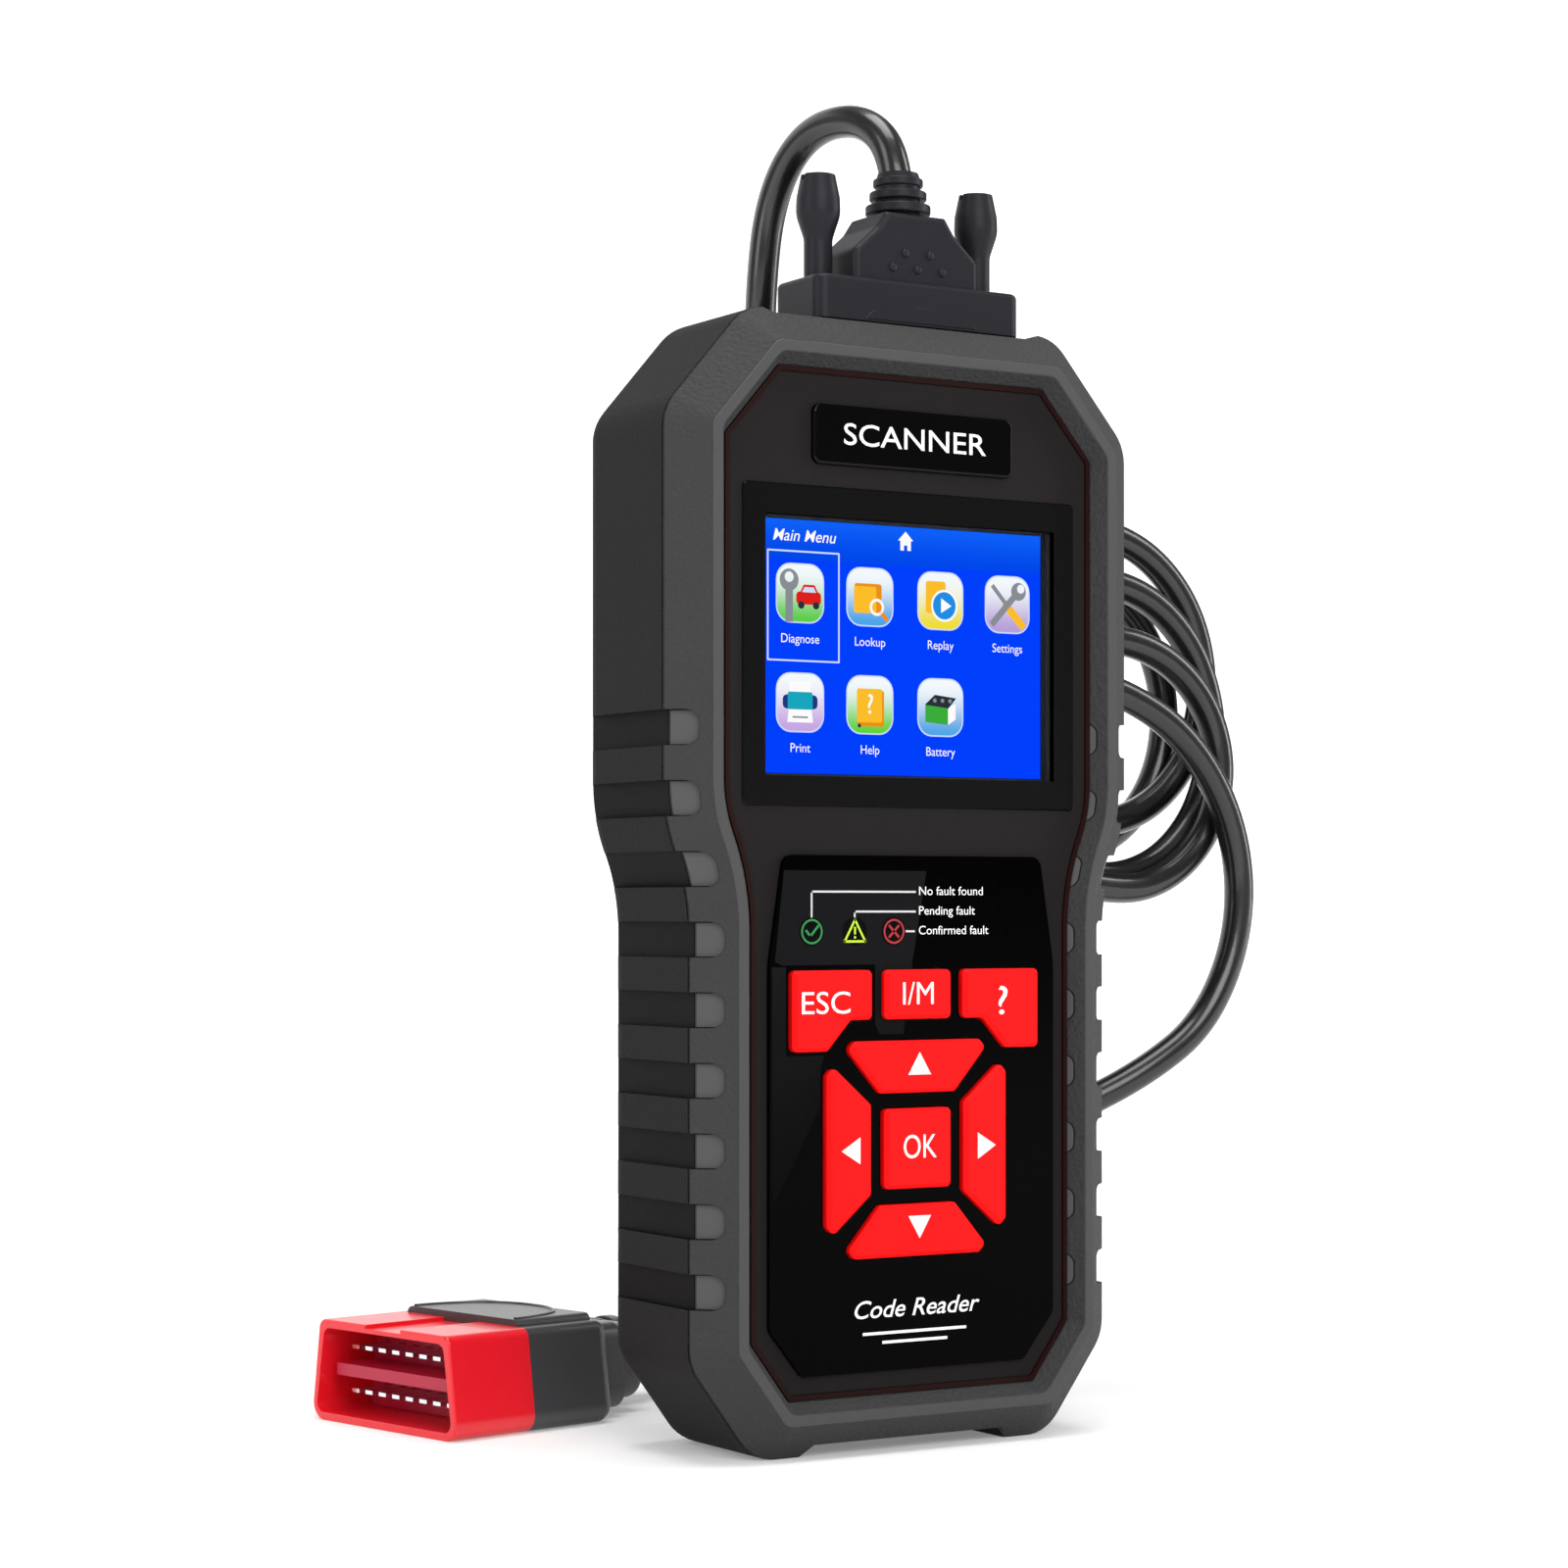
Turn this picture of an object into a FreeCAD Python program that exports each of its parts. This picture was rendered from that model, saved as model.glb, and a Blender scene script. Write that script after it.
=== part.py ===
import FreeCAD, Part
import math
import os

import Sketcher
from FreeCAD import Placement, Rotation, Vector

# A hand-held diagnostic code reader that stands on its feet: +Z up along its length, the screen
# facing -Y, the origin at the bottom centre of the case. Millimetres throughout.

DRIVING = [
    # case
    ("case_height", 195.5), ("case_depth", 35.0), ("upper_half", 48.0), ("lower_half", 43.0),
    ("waist_low", 96.0), ("waist_high", 109.0), ("waist_round", 34.0),
    ("top_cut_across", 16.0), ("top_cut_down", 18.5), ("foot_cut_across", 12.5), ("foot_cut_up", 17.0),
    ("corner_round", 8.5), ("back_round", 6.0), ("wall", 2.4), ("fit_gap", 0.05),
    ("seam_depth", 6.2), ("seam_gap", 0.3), ("bevel_across", 6.4), ("bevel_deep", 6.0),
    ("rim_inset", 8.0), ("panel_inset", 10.1), ("panel_drop", 3.2), ("panel_thick", 1.8),
    ("trim_width", 0.9), ("trim_proud", 0.4), ("least_round", 0.8),
    ("foot_gap_half", 19.6), ("foot_gap_deep", 2.2), ("top_gap_half", 27.0), ("top_gap_deep", 1.0),
    ("gap_ramp", 1.8),
    # grip grooves
    ("groove_count", 9), ("groove_pitch", 11.8), ("groove_tall", 6.0), ("groove_deep", 1.2),
    ("groove_first", 26.3), ("groove_on_bevel", 4.4), ("groove_round", 2.0),
    # case screws
    ("screw_inset", 6.2), ("screw_low_z", 21.0), ("screw_high_z", 170.0), ("screw_radius", 1.4),
    ("screw_bite", 3.4), ("boss_radius", 3.3), ("head_radius", 2.7), ("head_deep", 4.0),
    ("head_tall", 1.8), ("screw_gap", 0.2),
    # display
    ("window_half", 34.4), ("window_low", 110.9), ("window_high", 165.4), ("window_thick", 1.2),
    ("window_proud", 0.3), ("window_round", 1.0), ("screen_wide", 57.6), ("screen_tall", 43.2),
    ("screen_z", 138.1), ("module_wide", 67.6), ("module_tall", 50.0), ("module_deep", 2.6),
    ("badge_half", 20.7), ("badge_low", 169.1), ("badge_high", 179.4), ("badge_thick", 0.9),
    # keypad
    ("overlay_half", 29.5), ("overlay_top", 102.6), ("overlay_low", 14.1), ("overlay_thick", 0.8),
    ("overlay_top_half", 26.6), ("overlay_waist", 84.0), ("overlay_cut", 6.5), ("overlay_ledge", 1.6),
    ("key_gap", 0.3), ("key_proud", 1.5), ("key_bevel", 0.7), ("key_round", 1.0), ("key_travel", 0.9),
    ("pad_z", 52.2), ("ok_half", 6.9), ("arm_near", 9.6), ("arm_far", 18.6), ("arm_inner", 7.7),
    ("arm_wide", 14.3), ("arm_blunt", 1.4), ("top_key_high", 83.0), ("top_key_low", 74.5),
    ("side_key_in", 9.4), ("side_key_out", 25.5), ("side_key_step", 13.7), ("side_key_toe", 18.5),
    ("side_key_low", 69.2), ("stem_radius", 2.2), ("dome_radius", 3.6), ("dome_tall", 0.5),
    ("mat_thick", 1.0), ("lens_radius", 2.4), ("lens_z", 89.6),
    # board
    ("board_inset", 13.0), ("board_thick", 1.6), ("board_drop", 3.7),
    # connector on top and its plug
    ("port_x", 4.0), ("port_y", -3.8), ("d_half", 12.35), ("d_slope", 0.7), ("d_tall", 7.9),
    ("d_round", 2.4), ("shell_skin", 0.5), ("jack_half", 16.65), ("jack_radius", 2.4),
    ("flange_half", 21.25), ("flange_deep", 15.0), ("flange_tall", 7.6), ("plug_lift", 0.5),
    ("hood_half", 13.0), ("hood_deep", 12.4), ("hood_neck", 6.2), ("hood_tall", 19.8),
    ("knob_radius", 3.9), ("knob_top", 25.8),
    # cord and diagnostic plug
    ("cord_radius", 2.9), ("relief_top", 27.8), ("obd_x", -68.8), ("obd_y", 53.4), ("obd_turn", 191.8),
    ("obd_half_top", 19.0), ("obd_half_low", 21.5), ("obd_tall", 18.5), ("obd_long", 18.0),
    ("obd_wall", 1.5), ("pin_pitch", 4.0), ("row_pitch", 8.0), ("obd_hood_long", 19.0),
    ("obd_neck_long", 14.0), ("obd_relief_long", 14.0), ("obd_axis_z", 9.4),
]

doc = FreeCAD.newDocument("code_reader")
sheet = doc.addObject("Spreadsheet::Sheet", "Sizes")
for row, (word, number) in enumerate(DRIVING, start=1):
    sheet.set("A%d" % row, word)
    sheet.set("B%d" % row, str(number))
    sheet.setAlias("B%d" % row, word)
doc.recompute()


# ---------------------------------------------------------------- sizes that know their expression

class Size:
    """A number together with the sheet expression that gives it."""

    def __init__(self, value, text):
        self.value = float(value)
        self.text = text

    def __add__(self, other):
        return joined(self, "+", other, self.value + worth(other))

    def __sub__(self, other):
        return joined(self, "-", other, self.value - worth(other))

    def __mul__(self, other):
        return joined(self, "*", other, self.value * worth(other))

    def __truediv__(self, other):
        return joined(self, "/", other, self.value / worth(other))

    def __neg__(self):
        return Size(-self.value, "(-%s)" % self.text)

    def __radd__(self, other):
        return as_size(other) + self

    def __rsub__(self, other):
        return as_size(other) - self

    def __rmul__(self, other):
        return as_size(other) * self


def worth(item):
    return item.value if isinstance(item, Size) else float(item)


def as_size(item):
    return item if isinstance(item, Size) else Size(item, "(%.6f)" % item)


def joined(left, sign, right, value):
    return Size(value, "(%s %s %s)" % (as_size(left).text, sign, as_size(right).text))


def root(item):
    return Size(math.sqrt(item.value), "sqrt(%s)" % item.text)


class Sheet:
    """Reads a driving size by its word."""

    def __getattr__(self, word):
        return Size(sheet.get(word), "Sizes.%s" % word)


S = Sheet()


def bind(item, slot, size):
    item.setExpression(slot, as_size(size).text)


# ---------------------------------------------------------------- sketches

def unit(a, b):
    length = math.hypot(b[0] - a[0], b[1] - a[1])
    return ((b[0] - a[0]) / length, (b[1] - a[1]) / length)


def corner_arc(before, corner, after, radius):
    """Start point, end point and arc of the round at one corner."""
    back = unit(corner, before)
    ahead = unit(corner, after)
    half = math.acos(max(-1.0, min(1.0, back[0] * ahead[0] + back[1] * ahead[1]))) / 2
    reach = radius / math.tan(half)
    start = (corner[0] + back[0] * reach, corner[1] + back[1] * reach)
    end = (corner[0] + ahead[0] * reach, corner[1] + ahead[1] * reach)
    middle = unit((0, 0), (back[0] + ahead[0], back[1] + ahead[1]))
    depth = radius / math.sin(half)
    centre = (corner[0] + middle[0] * depth, corner[1] + middle[1] * depth)
    left_turn = back[1] * ahead[0] - back[0] * ahead[1] > 0
    first, last = (start, end) if left_turn else (end, start)
    angles = [math.atan2(p[1] - centre[1], p[0] - centre[0]) for p in (first, last)]
    circle = Part.Circle(Vector(centre[0], centre[1], 0), Vector(0, 0, 1), radius)
    return start, end, Part.ArcOfCircle(circle, angles[0], angles[1]), left_turn


class Rules:
    """Constraints gathered for one sketch and added together, each with the size it follows."""

    def __init__(self):
        self.items = []

    def add(self, *terms, size=None):
        if size is not None:
            terms += (worth(size),)
        self.items.append((Sketcher.Constraint(*terms), size))

    def fix_point(self, geometry, position, corner):
        """Tie one point of the sketch to the sheet, across and up."""
        for kind, size in zip(("DistanceX", "DistanceY"), corner):
            self.add(kind, geometry, position, size=size)

    def apply(self, sketch):
        first = len(sketch.Constraints)
        sketch.addConstraint([constraint for constraint, size in self.items])
        for index, (constraint, size) in enumerate(self.items, start=first):
            if size is not None:
                bind(sketch, "Constraints[%d]" % index, size)


def draw_outline(sketch, rules, corners):
    """A closed chain of lines, with a tangent arc at each corner that has a radius."""
    places = [(worth(c[0]), worth(c[1])) for c in corners]
    count = len(corners)
    rounds = {}
    for i, corner in enumerate(corners):
        if len(corner) > 2 and worth(corner[2]) > 0:
            rounds[i] = corner_arc(places[i - 1], places[i], places[(i + 1) % count], worth(corner[2]))
    lines = []
    for i in range(count):
        after = (i + 1) % count
        start = rounds[i][1] if i in rounds else places[i]
        end = rounds[after][0] if after in rounds else places[after]
        lines.append(sketch.addGeometry(Part.LineSegment(Vector(*start, 0), Vector(*end, 0)), False))
    for i, corner in enumerate(corners):
        before = lines[i - 1]
        if i not in rounds:
            rules.add("Coincident", before, 2, lines[i], 1)
            rules.fix_point(lines[i], 1, corner[:2])
            continue
        arc = sketch.addGeometry(rounds[i][2], False)
        first, last = (1, 2) if rounds[i][3] else (2, 1)
        mark = sketch.addGeometry(Part.Point(Vector(*places[i], 0)), True)
        rules.fix_point(mark, 1, corner[:2])
        rules.add("PointOnObject", mark, 1, before)
        rules.add("PointOnObject", mark, 1, lines[i])
        rules.add("Tangent", before, 2, arc, first)
        rules.add("Tangent", arc, last, lines[i], 1)
        rules.add("Radius", arc, size=corner[2])


def draw_circle(sketch, rules, x, y, radius):
    circle = Part.Circle(Vector(worth(x), worth(y), 0), Vector(0, 0, 1), worth(radius))
    index = sketch.addGeometry(circle, False)
    rules.fix_point(index, 3, (x, y))
    rules.add("Radius", index, size=radius)


def sketch_on(body, plane, offset, shapes):
    """A sketch on the body's own plane; a shape is a corner list or a circle (x, y, radius)."""
    sketch = body.newObject("Sketcher::SketchObject", body.Name + "_sketch")
    support = [f for f in body.Origin.OriginFeatures if f.Role == plane][0]
    sketch.AttachmentSupport = [(support, "")]
    sketch.MapMode = "FlatFace"
    bind(sketch, "AttachmentOffset.Base.z", offset)
    rules = Rules()
    for shape in shapes:
        if isinstance(shape, tuple):
            draw_circle(sketch, rules, *shape)
        else:
            draw_outline(sketch, rules, shape)
    rules.apply(sketch)
    return sketch


# ---------------------------------------------------------------- solids

nodes = {}


def keep(label, item):
    """Name a finished sub-part; its label names its file."""
    item.Label = label
    nodes[label] = item
    return item


def pad(plane, start, length, shapes, name="blank"):
    """A body padded from shapes on a plane, starting at an offset along the plane's normal."""
    body = doc.addObject("PartDesign::Body", name)
    sketch = sketch_on(body, plane, as_size(start), shapes)
    feature = body.newObject("PartDesign::Pad", name + "_pad")
    feature.Profile = sketch
    bind(feature, "Length", length)
    doc.recompute()
    return body


def plate(back, front, shapes, name="blank"):
    """A plate in the XZ plane from its back (larger Y) to its front (smaller Y)."""
    return pad("XZ_Plane", -as_size(back), as_size(back) - front, shapes, name)


def column(low, high, shapes, name="blank"):
    """A prism along Z."""
    return pad("XY_Plane", low, as_size(high) - low, shapes, name)


def edges_where(feature, test):
    shape = feature.Shape
    return ["Edge%d" % (i + 1) for i, edge in enumerate(shape.Edges)
            if all(test(v.Point) for v in edge.Vertexes)]


def dress(body, kind, test, size, second=None):
    """A fillet or chamfer on the edges whose ends pass the test."""
    base = body.Tip
    feature = body.newObject("PartDesign::" + kind, body.Name + "_" + kind.lower())
    feature.Base = (base, edges_where(base, test))
    bind(feature, "Radius" if kind == "Fillet" else "Size", size)
    if second is not None:
        feature.ChamferType = 1
        bind(feature, "Size2", second)
    doc.recompute()
    return feature


def at_y(y):
    return lambda point: abs(point.y - worth(y)) < 1e-4


def at_z(z):
    return lambda point: abs(point.z - worth(z)) < 1e-4


def block(low, high, name="block"):
    item = doc.addObject("Part::Box", name)
    for slot, axis, a, b in zip(("Length", "Width", "Height"), "xyz", low, high):
        bind(item, slot, as_size(b) - a)
        bind(item, "Placement.Base." + axis, a)
    return item


def rod(base, radius, length, way="z", name="rod"):
    """A cylinder from its base along +Z, or towards the viewer along -Y, or along +X."""
    item = doc.addObject("Part::Cylinder", name)
    turns = {"z": Rotation(), "y": Rotation(Vector(1, 0, 0), 90), "x": Rotation(Vector(0, 1, 0), 90)}
    item.Placement = Placement(Vector(0, 0, 0), turns[way])
    bind(item, "Radius", radius)
    bind(item, "Height", length)
    for axis, size in zip("xyz", base):
        bind(item, "Placement.Base." + axis, size)
    return item


def cut(base, *tools):
    """The base less each tool; every tool has to take something away."""
    for tool in tools:
        item = doc.addObject("Part::Cut", "cut")
        item.Base = base
        item.Tool = tool
        doc.recompute()
        if item.Shape.isNull() or item.Shape.Volume > base.Shape.Volume - 1e-3:
            raise RuntimeError("%s takes nothing from %s" % (tool.Name, base.Name))
        base = item
    return base


def gathered(kind, items):
    item = doc.addObject("Part::" + kind, kind.lower())
    if kind == "Compound":
        item.Links = items
    else:
        item.Shapes = items
    doc.recompute()
    return item


def fuse(*items):
    return gathered("MultiFuse", list(items))


def common(*items):
    return gathered("MultiCommon", list(items))


def group(items):
    return gathered("Compound", list(items))


def turned(profile, name="turned"):
    """A body of revolution about its own Z axis from (radius, height) corners."""
    body = doc.addObject("PartDesign::Body", name)
    sketch = sketch_on(body, "XZ_Plane", as_size(0), [profile])
    feature = body.newObject("PartDesign::Revolution", name + "_turn")
    feature.Profile = sketch
    feature.ReferenceAxis = (sketch, ["V_Axis"])
    feature.Angle = 360
    doc.recompute()
    return body


def place(item, x, y, z):
    for axis, size in zip("xyz", (x, y, z)):
        bind(item, "Placement.Base." + axis, size)
    return item


def box_corners(half, low, high, radius=0, middle=0):
    left = as_size(middle) - half
    right = as_size(middle) + half
    return [(left, low, radius), (right, low, radius), (right, high, radius), (left, high, radius)]


def mirrored(half):
    """A full outline from its right half, given from bottom to top."""
    return list(half) + [(-as_size(c[0]),) + tuple(c[1:]) for c in reversed(half)]


# ---------------------------------------------------------------- the case outline and its depths

rim_y = -S.case_depth / 2
back_y = S.case_depth / 2
seam_y = rim_y + S.seam_depth
face_y = rim_y + S.panel_drop
panel_back_y = face_y + S.panel_thick
floor_back_y = seam_y


def larger(first, second):
    return first if worth(first) > worth(second) else as_size(second)


def case_outline(inset):
    """The case's outline, moved inwards by an even distance."""
    inset = as_size(inset)
    foot_slant = root(S.foot_cut_across * S.foot_cut_across + S.foot_cut_up * S.foot_cut_up)
    top_slant = root(S.top_cut_across * S.top_cut_across + S.top_cut_down * S.top_cut_down)
    flare = S.upper_half - S.lower_half
    rise = S.waist_high - S.waist_low
    waist_slant = root(flare * flare + rise * rise)
    waist_shift = inset * (waist_slant - rise) / flare
    round_out = larger(S.corner_round - inset, S.least_round)
    foot_x = S.lower_half - S.foot_cut_across - inset * (foot_slant - S.foot_cut_across) / S.foot_cut_up
    foot_z = S.foot_cut_up + inset * (foot_slant - S.foot_cut_up) / S.foot_cut_across
    top_x = S.upper_half - S.top_cut_across - inset * (top_slant - S.top_cut_across) / S.top_cut_down
    top_z = (S.case_height - S.top_cut_down) - inset * (top_slant - S.top_cut_down) / S.top_cut_across
    half = [
        (foot_x, inset, round_out),
        (S.lower_half - inset, foot_z, round_out),
        (S.lower_half - inset, S.waist_low + waist_shift, S.waist_round + inset),
        (S.upper_half - inset, S.waist_high + waist_shift, S.waist_round - inset),
        (S.upper_half - inset, top_z, round_out),
        (top_x, S.case_height - inset, round_out),
    ]
    return mirrored(half)


def end_gap(half, deep, edge_z, inwards):
    """A shallow gap with ramped ends across the whole depth of the case."""
    outer = edge_z - inwards * 2.0
    inner = edge_z + inwards * deep
    slope = half + S.gap_ramp
    corners = mirrored([(slope, edge_z), (half, inner)]) if inwards > 0 else mirrored(
        [(half, inner), (slope, edge_z)])
    wide = mirrored([(slope, outer), (slope, edge_z)]) if inwards > 0 else mirrored(
        [(slope, edge_z), (slope, outer)])
    return fuse(plate(back_y + 1, rim_y - 1, [corners], "end_ramp"),
                plate(back_y + 1, rim_y - 1, [wide], "end_clear"))


def groove_slabs():
    """The bars that the grip grooves are cut with, rounded where they end on the bevel."""
    reach = S.upper_half + 5
    end_y = seam_y - S.groove_on_bevel
    slabs = []
    for i in range(int(S.groove_count.value)):
        low = S.groove_first + S.groove_pitch * i
        high = low + S.groove_tall
        corners = [(end_y, low, S.groove_round), (back_y + 5, low), (back_y + 5, high),
                   (end_y, high, S.groove_round)]
        slabs.append(pad("YZ_Plane", -reach, reach * 2, [corners], "groove_slab"))
    return group(slabs)


SLABS = groove_slabs()
FOOT_GAP = end_gap(S.foot_gap_half, S.foot_gap_deep, as_size(0), 1)
TOP_GAP = end_gap(S.top_gap_half, S.top_gap_deep, S.case_height, -1)


def screw_spots():
    low = (S.lower_half - S.screw_inset, S.screw_low_z)
    high = (S.upper_half - S.screw_inset, S.screw_high_z)
    return [low, high, (-low[0], low[1]), (-high[0], high[1])]


# ---------------------------------------------------------------- housing

def d_outline(grow, centre_y):
    """A D-shaped outline, wide towards the viewer, grown by an even amount."""
    half = S.d_half + grow
    tall = S.d_tall / 2 + grow
    short = half - S.d_slope * 2
    radius = S.d_round + grow
    return [(S.port_x - half, centre_y - tall, radius), (S.port_x + half, centre_y - tall, radius),
            (S.port_x + short, centre_y + tall, radius), (S.port_x - short, centre_y + tall, radius)]


def make_rear_shell():
    outer = plate(back_y, seam_y + S.seam_gap, [case_outline(0)], "rear_outer")
    dress(outer, "Fillet", at_y(back_y), S.back_round)
    hollow = plate(back_y - S.wall, seam_y - 1, [case_outline(S.wall)], "rear_hollow")
    spared = plate(back_y + 6, seam_y - 1, [case_outline(S.groove_deep)], "groove_floor")
    shell = cut(outer, hollow, cut(SLABS, spared), FOOT_GAP, TOP_GAP)
    bosses = [rod((x, back_y - S.wall, z), S.boss_radius, back_y - S.wall - seam_y - S.seam_gap, "y")
              for x, z in screw_spots()]
    shell = fuse(shell, *bosses)
    for x, z in screw_spots():
        shell = cut(shell, rod((x, back_y + 1, z), S.screw_radius + S.screw_gap, S.case_depth + 2, "y"),
                    rod((x, back_y + 1, z), S.head_radius + S.screw_gap, S.head_deep + 1, "y"))
    top = S.case_height
    port_hole = column(top - S.wall * 3, top + 3, [d_outline(S.shell_skin + 0.5, S.port_y)], "port_hole")
    jacks = [rod((S.port_x + side * S.jack_half, S.port_y, top - S.wall * 3), S.jack_radius + 0.2,
                 S.wall * 3 + 3) for side in (-1, 1)]
    usb_hole = block((-USB_HALF - 0.2, USB_Y - USB_TALL / 2 - 0.2, -1),
                     (USB_HALF + 0.2, USB_Y + USB_TALL / 2 + 0.2, S.wall * 3))
    label_bed = plate(back_y + 1, back_y - LABEL_THICK, [label_outline(0.2)], "label_bed")
    keep("rear_shell", cut(shell, port_hole, *jacks, usb_hole, label_bed))


USB_HALF = as_size(3.9)
USB_TALL = as_size(4.0)
USB_Y = as_size(-3.6)
LABEL_THICK = as_size(0.4)


def label_outline(grow):
    return box_corners(as_size(26.0) + grow, as_size(92.0) - grow, as_size(128.0) + grow, 2.0)


def keypad_outline(inset):
    """The gloss keypad cover: cut lower corners, and sides that draw in towards the top."""
    inset = as_size(inset)
    low = S.overlay_low + inset
    wide = S.overlay_half - inset
    return mirrored([
        (wide - S.overlay_cut, low, 1.2), (wide, low + S.overlay_cut * 1.25, 2.5),
        (wide, S.overlay_waist, 24.0), (S.overlay_top_half - inset, S.overlay_top - inset, 2.0)])


def window_outline(grow):
    return box_corners(S.window_half + grow, S.window_low - grow, S.window_high + grow, S.window_round)


def screen_outline(grow):
    return box_corners(S.screen_wide / 2 + grow, S.screen_z - S.screen_tall / 2 - grow,
                       S.screen_z + S.screen_tall / 2 + grow, 0.3)


def module_outline(grow):
    return box_corners(S.module_wide / 2 + grow, S.screen_z - S.module_tall / 2 - grow,
                       S.screen_z + S.module_tall / 2 + grow, 0.5)


def bevelled(inset, name):
    """A block of the front surround's outer form, with its wide bevel."""
    body = plate(seam_y, rim_y, [case_outline(inset)], name)
    base = body.Tip
    feature = body.newObject("PartDesign::Chamfer", name + "_bevel")
    feature.Base = (base, edges_where(base, at_y(rim_y)))
    feature.ChamferType = 1
    bind(feature, "Size", S.bevel_deep)
    bind(feature, "Size2", S.bevel_across)
    doc.recompute()
    return body


def make_front_frame():
    outer = bevelled(0, "frame_outer")
    spared = bevelled(S.groove_deep, "frame_groove_floor")
    recess = plate(panel_back_y, rim_y - 1, [case_outline(S.panel_inset)], "frame_recess")
    mouth = pad("XZ_Plane", -face_y, S.panel_drop, [case_outline(S.panel_inset)], "frame_mouth")
    slope = math.degrees(math.atan2(worth(S.panel_inset - S.rim_inset), worth(S.panel_drop)))
    mouth.Tip.TaperAngle = slope
    doc.recompute()
    holes = plate(seam_y + 1, rim_y, [module_outline(0.2), keypad_outline(S.overlay_ledge)], "floor_holes")
    frame = cut(outer, cut(SLABS, spared), recess, mouth, holes, FOOT_GAP, TOP_GAP)
    for x, z in screw_spots():
        frame = cut(frame, rod((x, seam_y + 1, z), S.screw_radius + S.fit_gap, S.screw_bite + 1.2, "y"))
    keep("front_frame", frame)


def make_case_screws():
    screws = []
    for x, z in screw_spots():
        head_y = back_y - S.head_deep
        shank = rod((x, head_y, z), S.screw_radius, head_y - seam_y + S.screw_bite, "y")
        head = rod((x, head_y + S.head_tall, z), S.head_radius, S.head_tall, "y")
        slots = [block((x - a, head_y + S.head_tall - 0.9, z - b), (x + a, head_y + S.head_tall + 1, z + b))
                 for a, b in ((1.6, 0.3), (0.3, 1.6))]
        screws.append(cut(fuse(shank, head), *slots))
    keep("case_screws", group(screws))


def make_front_trim():
    inner = S.panel_inset + S.trim_width
    ring = plate(panel_back_y, face_y - S.trim_proud,
                 [case_outline(S.panel_inset + S.fit_gap), case_outline(inner)], "trim_ring_body")
    keep("trim_ring", ring)
    panel = plate(panel_back_y, face_y,
                  [case_outline(inner + S.fit_gap), window_outline(S.fit_gap),
                   keypad_outline(S.overlay_ledge)], "face_panel_body")
    keep("face_panel", panel)
    badge = plate(face_y, face_y - S.badge_thick,
                  [box_corners(S.badge_half, S.badge_low, S.badge_high, 1.5)], "badge_body")
    dress(badge, "Fillet", at_y(face_y - S.badge_thick), 0.5)
    keep("name_badge", badge)


def make_rear_label():
    keep("rear_label", plate(back_y - S.fit_gap, back_y - LABEL_THICK, [label_outline(0)], "label_body"))


# ---------------------------------------------------------------- display

window_back_y = face_y - S.window_proud + S.window_thick
module_front_y = panel_back_y + S.fit_gap


def make_display():
    window = plate(window_back_y, face_y - S.window_proud, [window_outline(0)], "window_body")
    dress(window, "Chamfer", at_y(face_y - S.window_proud), 0.25)
    keep("display_window", window)
    gasket = plate(panel_back_y, window_back_y, [window_outline(-0.3), screen_outline(0.4)], "gasket_body")
    keep("display_gasket", gasket)
    frame = plate(module_front_y + S.module_deep, module_front_y,
                  [module_outline(0), screen_outline(1.6)], "lcd_frame_body")
    lip = plate(module_front_y + 0.25, module_front_y, [screen_outline(1.7), screen_outline(0.1)], "lcd_lip")
    keep("lcd_frame", fuse(frame, lip))
    glass_y = module_front_y + 0.25
    keep("lcd_panel", plate(glass_y + 1.1, glass_y, [screen_outline(1.5)], "lcd_panel_body"))
    keep("lcd_backlight", plate(module_front_y + S.module_deep, glass_y + 1.1, [screen_outline(1.5)],
                                "backlight_body"))
    low_z = S.screen_z - S.module_tall / 2
    flex_back = board_front_y
    back = module_front_y + S.module_deep
    flex = block((-9, back, low_z - 4), (9, back + 0.3, low_z + 6))
    foot = block((-9, back, low_z - 4), (9, flex_back, low_z - 3))
    keep("lcd_flex", fuse(flex, foot))


# ---------------------------------------------------------------- keypad

overlay_front_y = face_y - S.overlay_thick
key_back_y = face_y + 1.4
key_front_y = overlay_front_y - S.key_proud
board_front_y = seam_y + S.board_drop
board_back_y = board_front_y + S.board_thick
LENS_X = {"indicator_green": -21.1, "indicator_amber": -12.4, "indicator_red": -4.4}


def side_key(side):
    corners = [(S.side_key_out, S.side_key_low), (S.side_key_out, S.top_key_high),
               (S.side_key_in, S.top_key_high), (S.side_key_in, S.top_key_low),
               (S.side_key_step, S.top_key_low), (S.side_key_toe, S.side_key_low)]
    return [(x * side, z) for x, z in corners]


def arm_key(turn):
    """One arm of the cursor pad, a blunt trapezoid that widens outwards, turned in quarter turns."""
    tip = S.arm_far - S.arm_blunt
    corners = [(S.arm_near, -S.arm_inner), (tip, -S.arm_wide), (S.arm_far, S.arm_blunt - S.arm_wide),
               (S.arm_far, S.arm_wide - S.arm_blunt), (tip, S.arm_wide), (S.arm_near, S.arm_inner)]
    way = [(1, 0), (0, 1), (-1, 0), (0, -1)][turn]
    return [(a * way[0] - b * way[1], S.pad_z + a * way[1] + b * way[0]) for a, b in corners]


def plain_key(half, low, high):
    return [(-half, low), (half, low), (half, high), (-half, high)]


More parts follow.
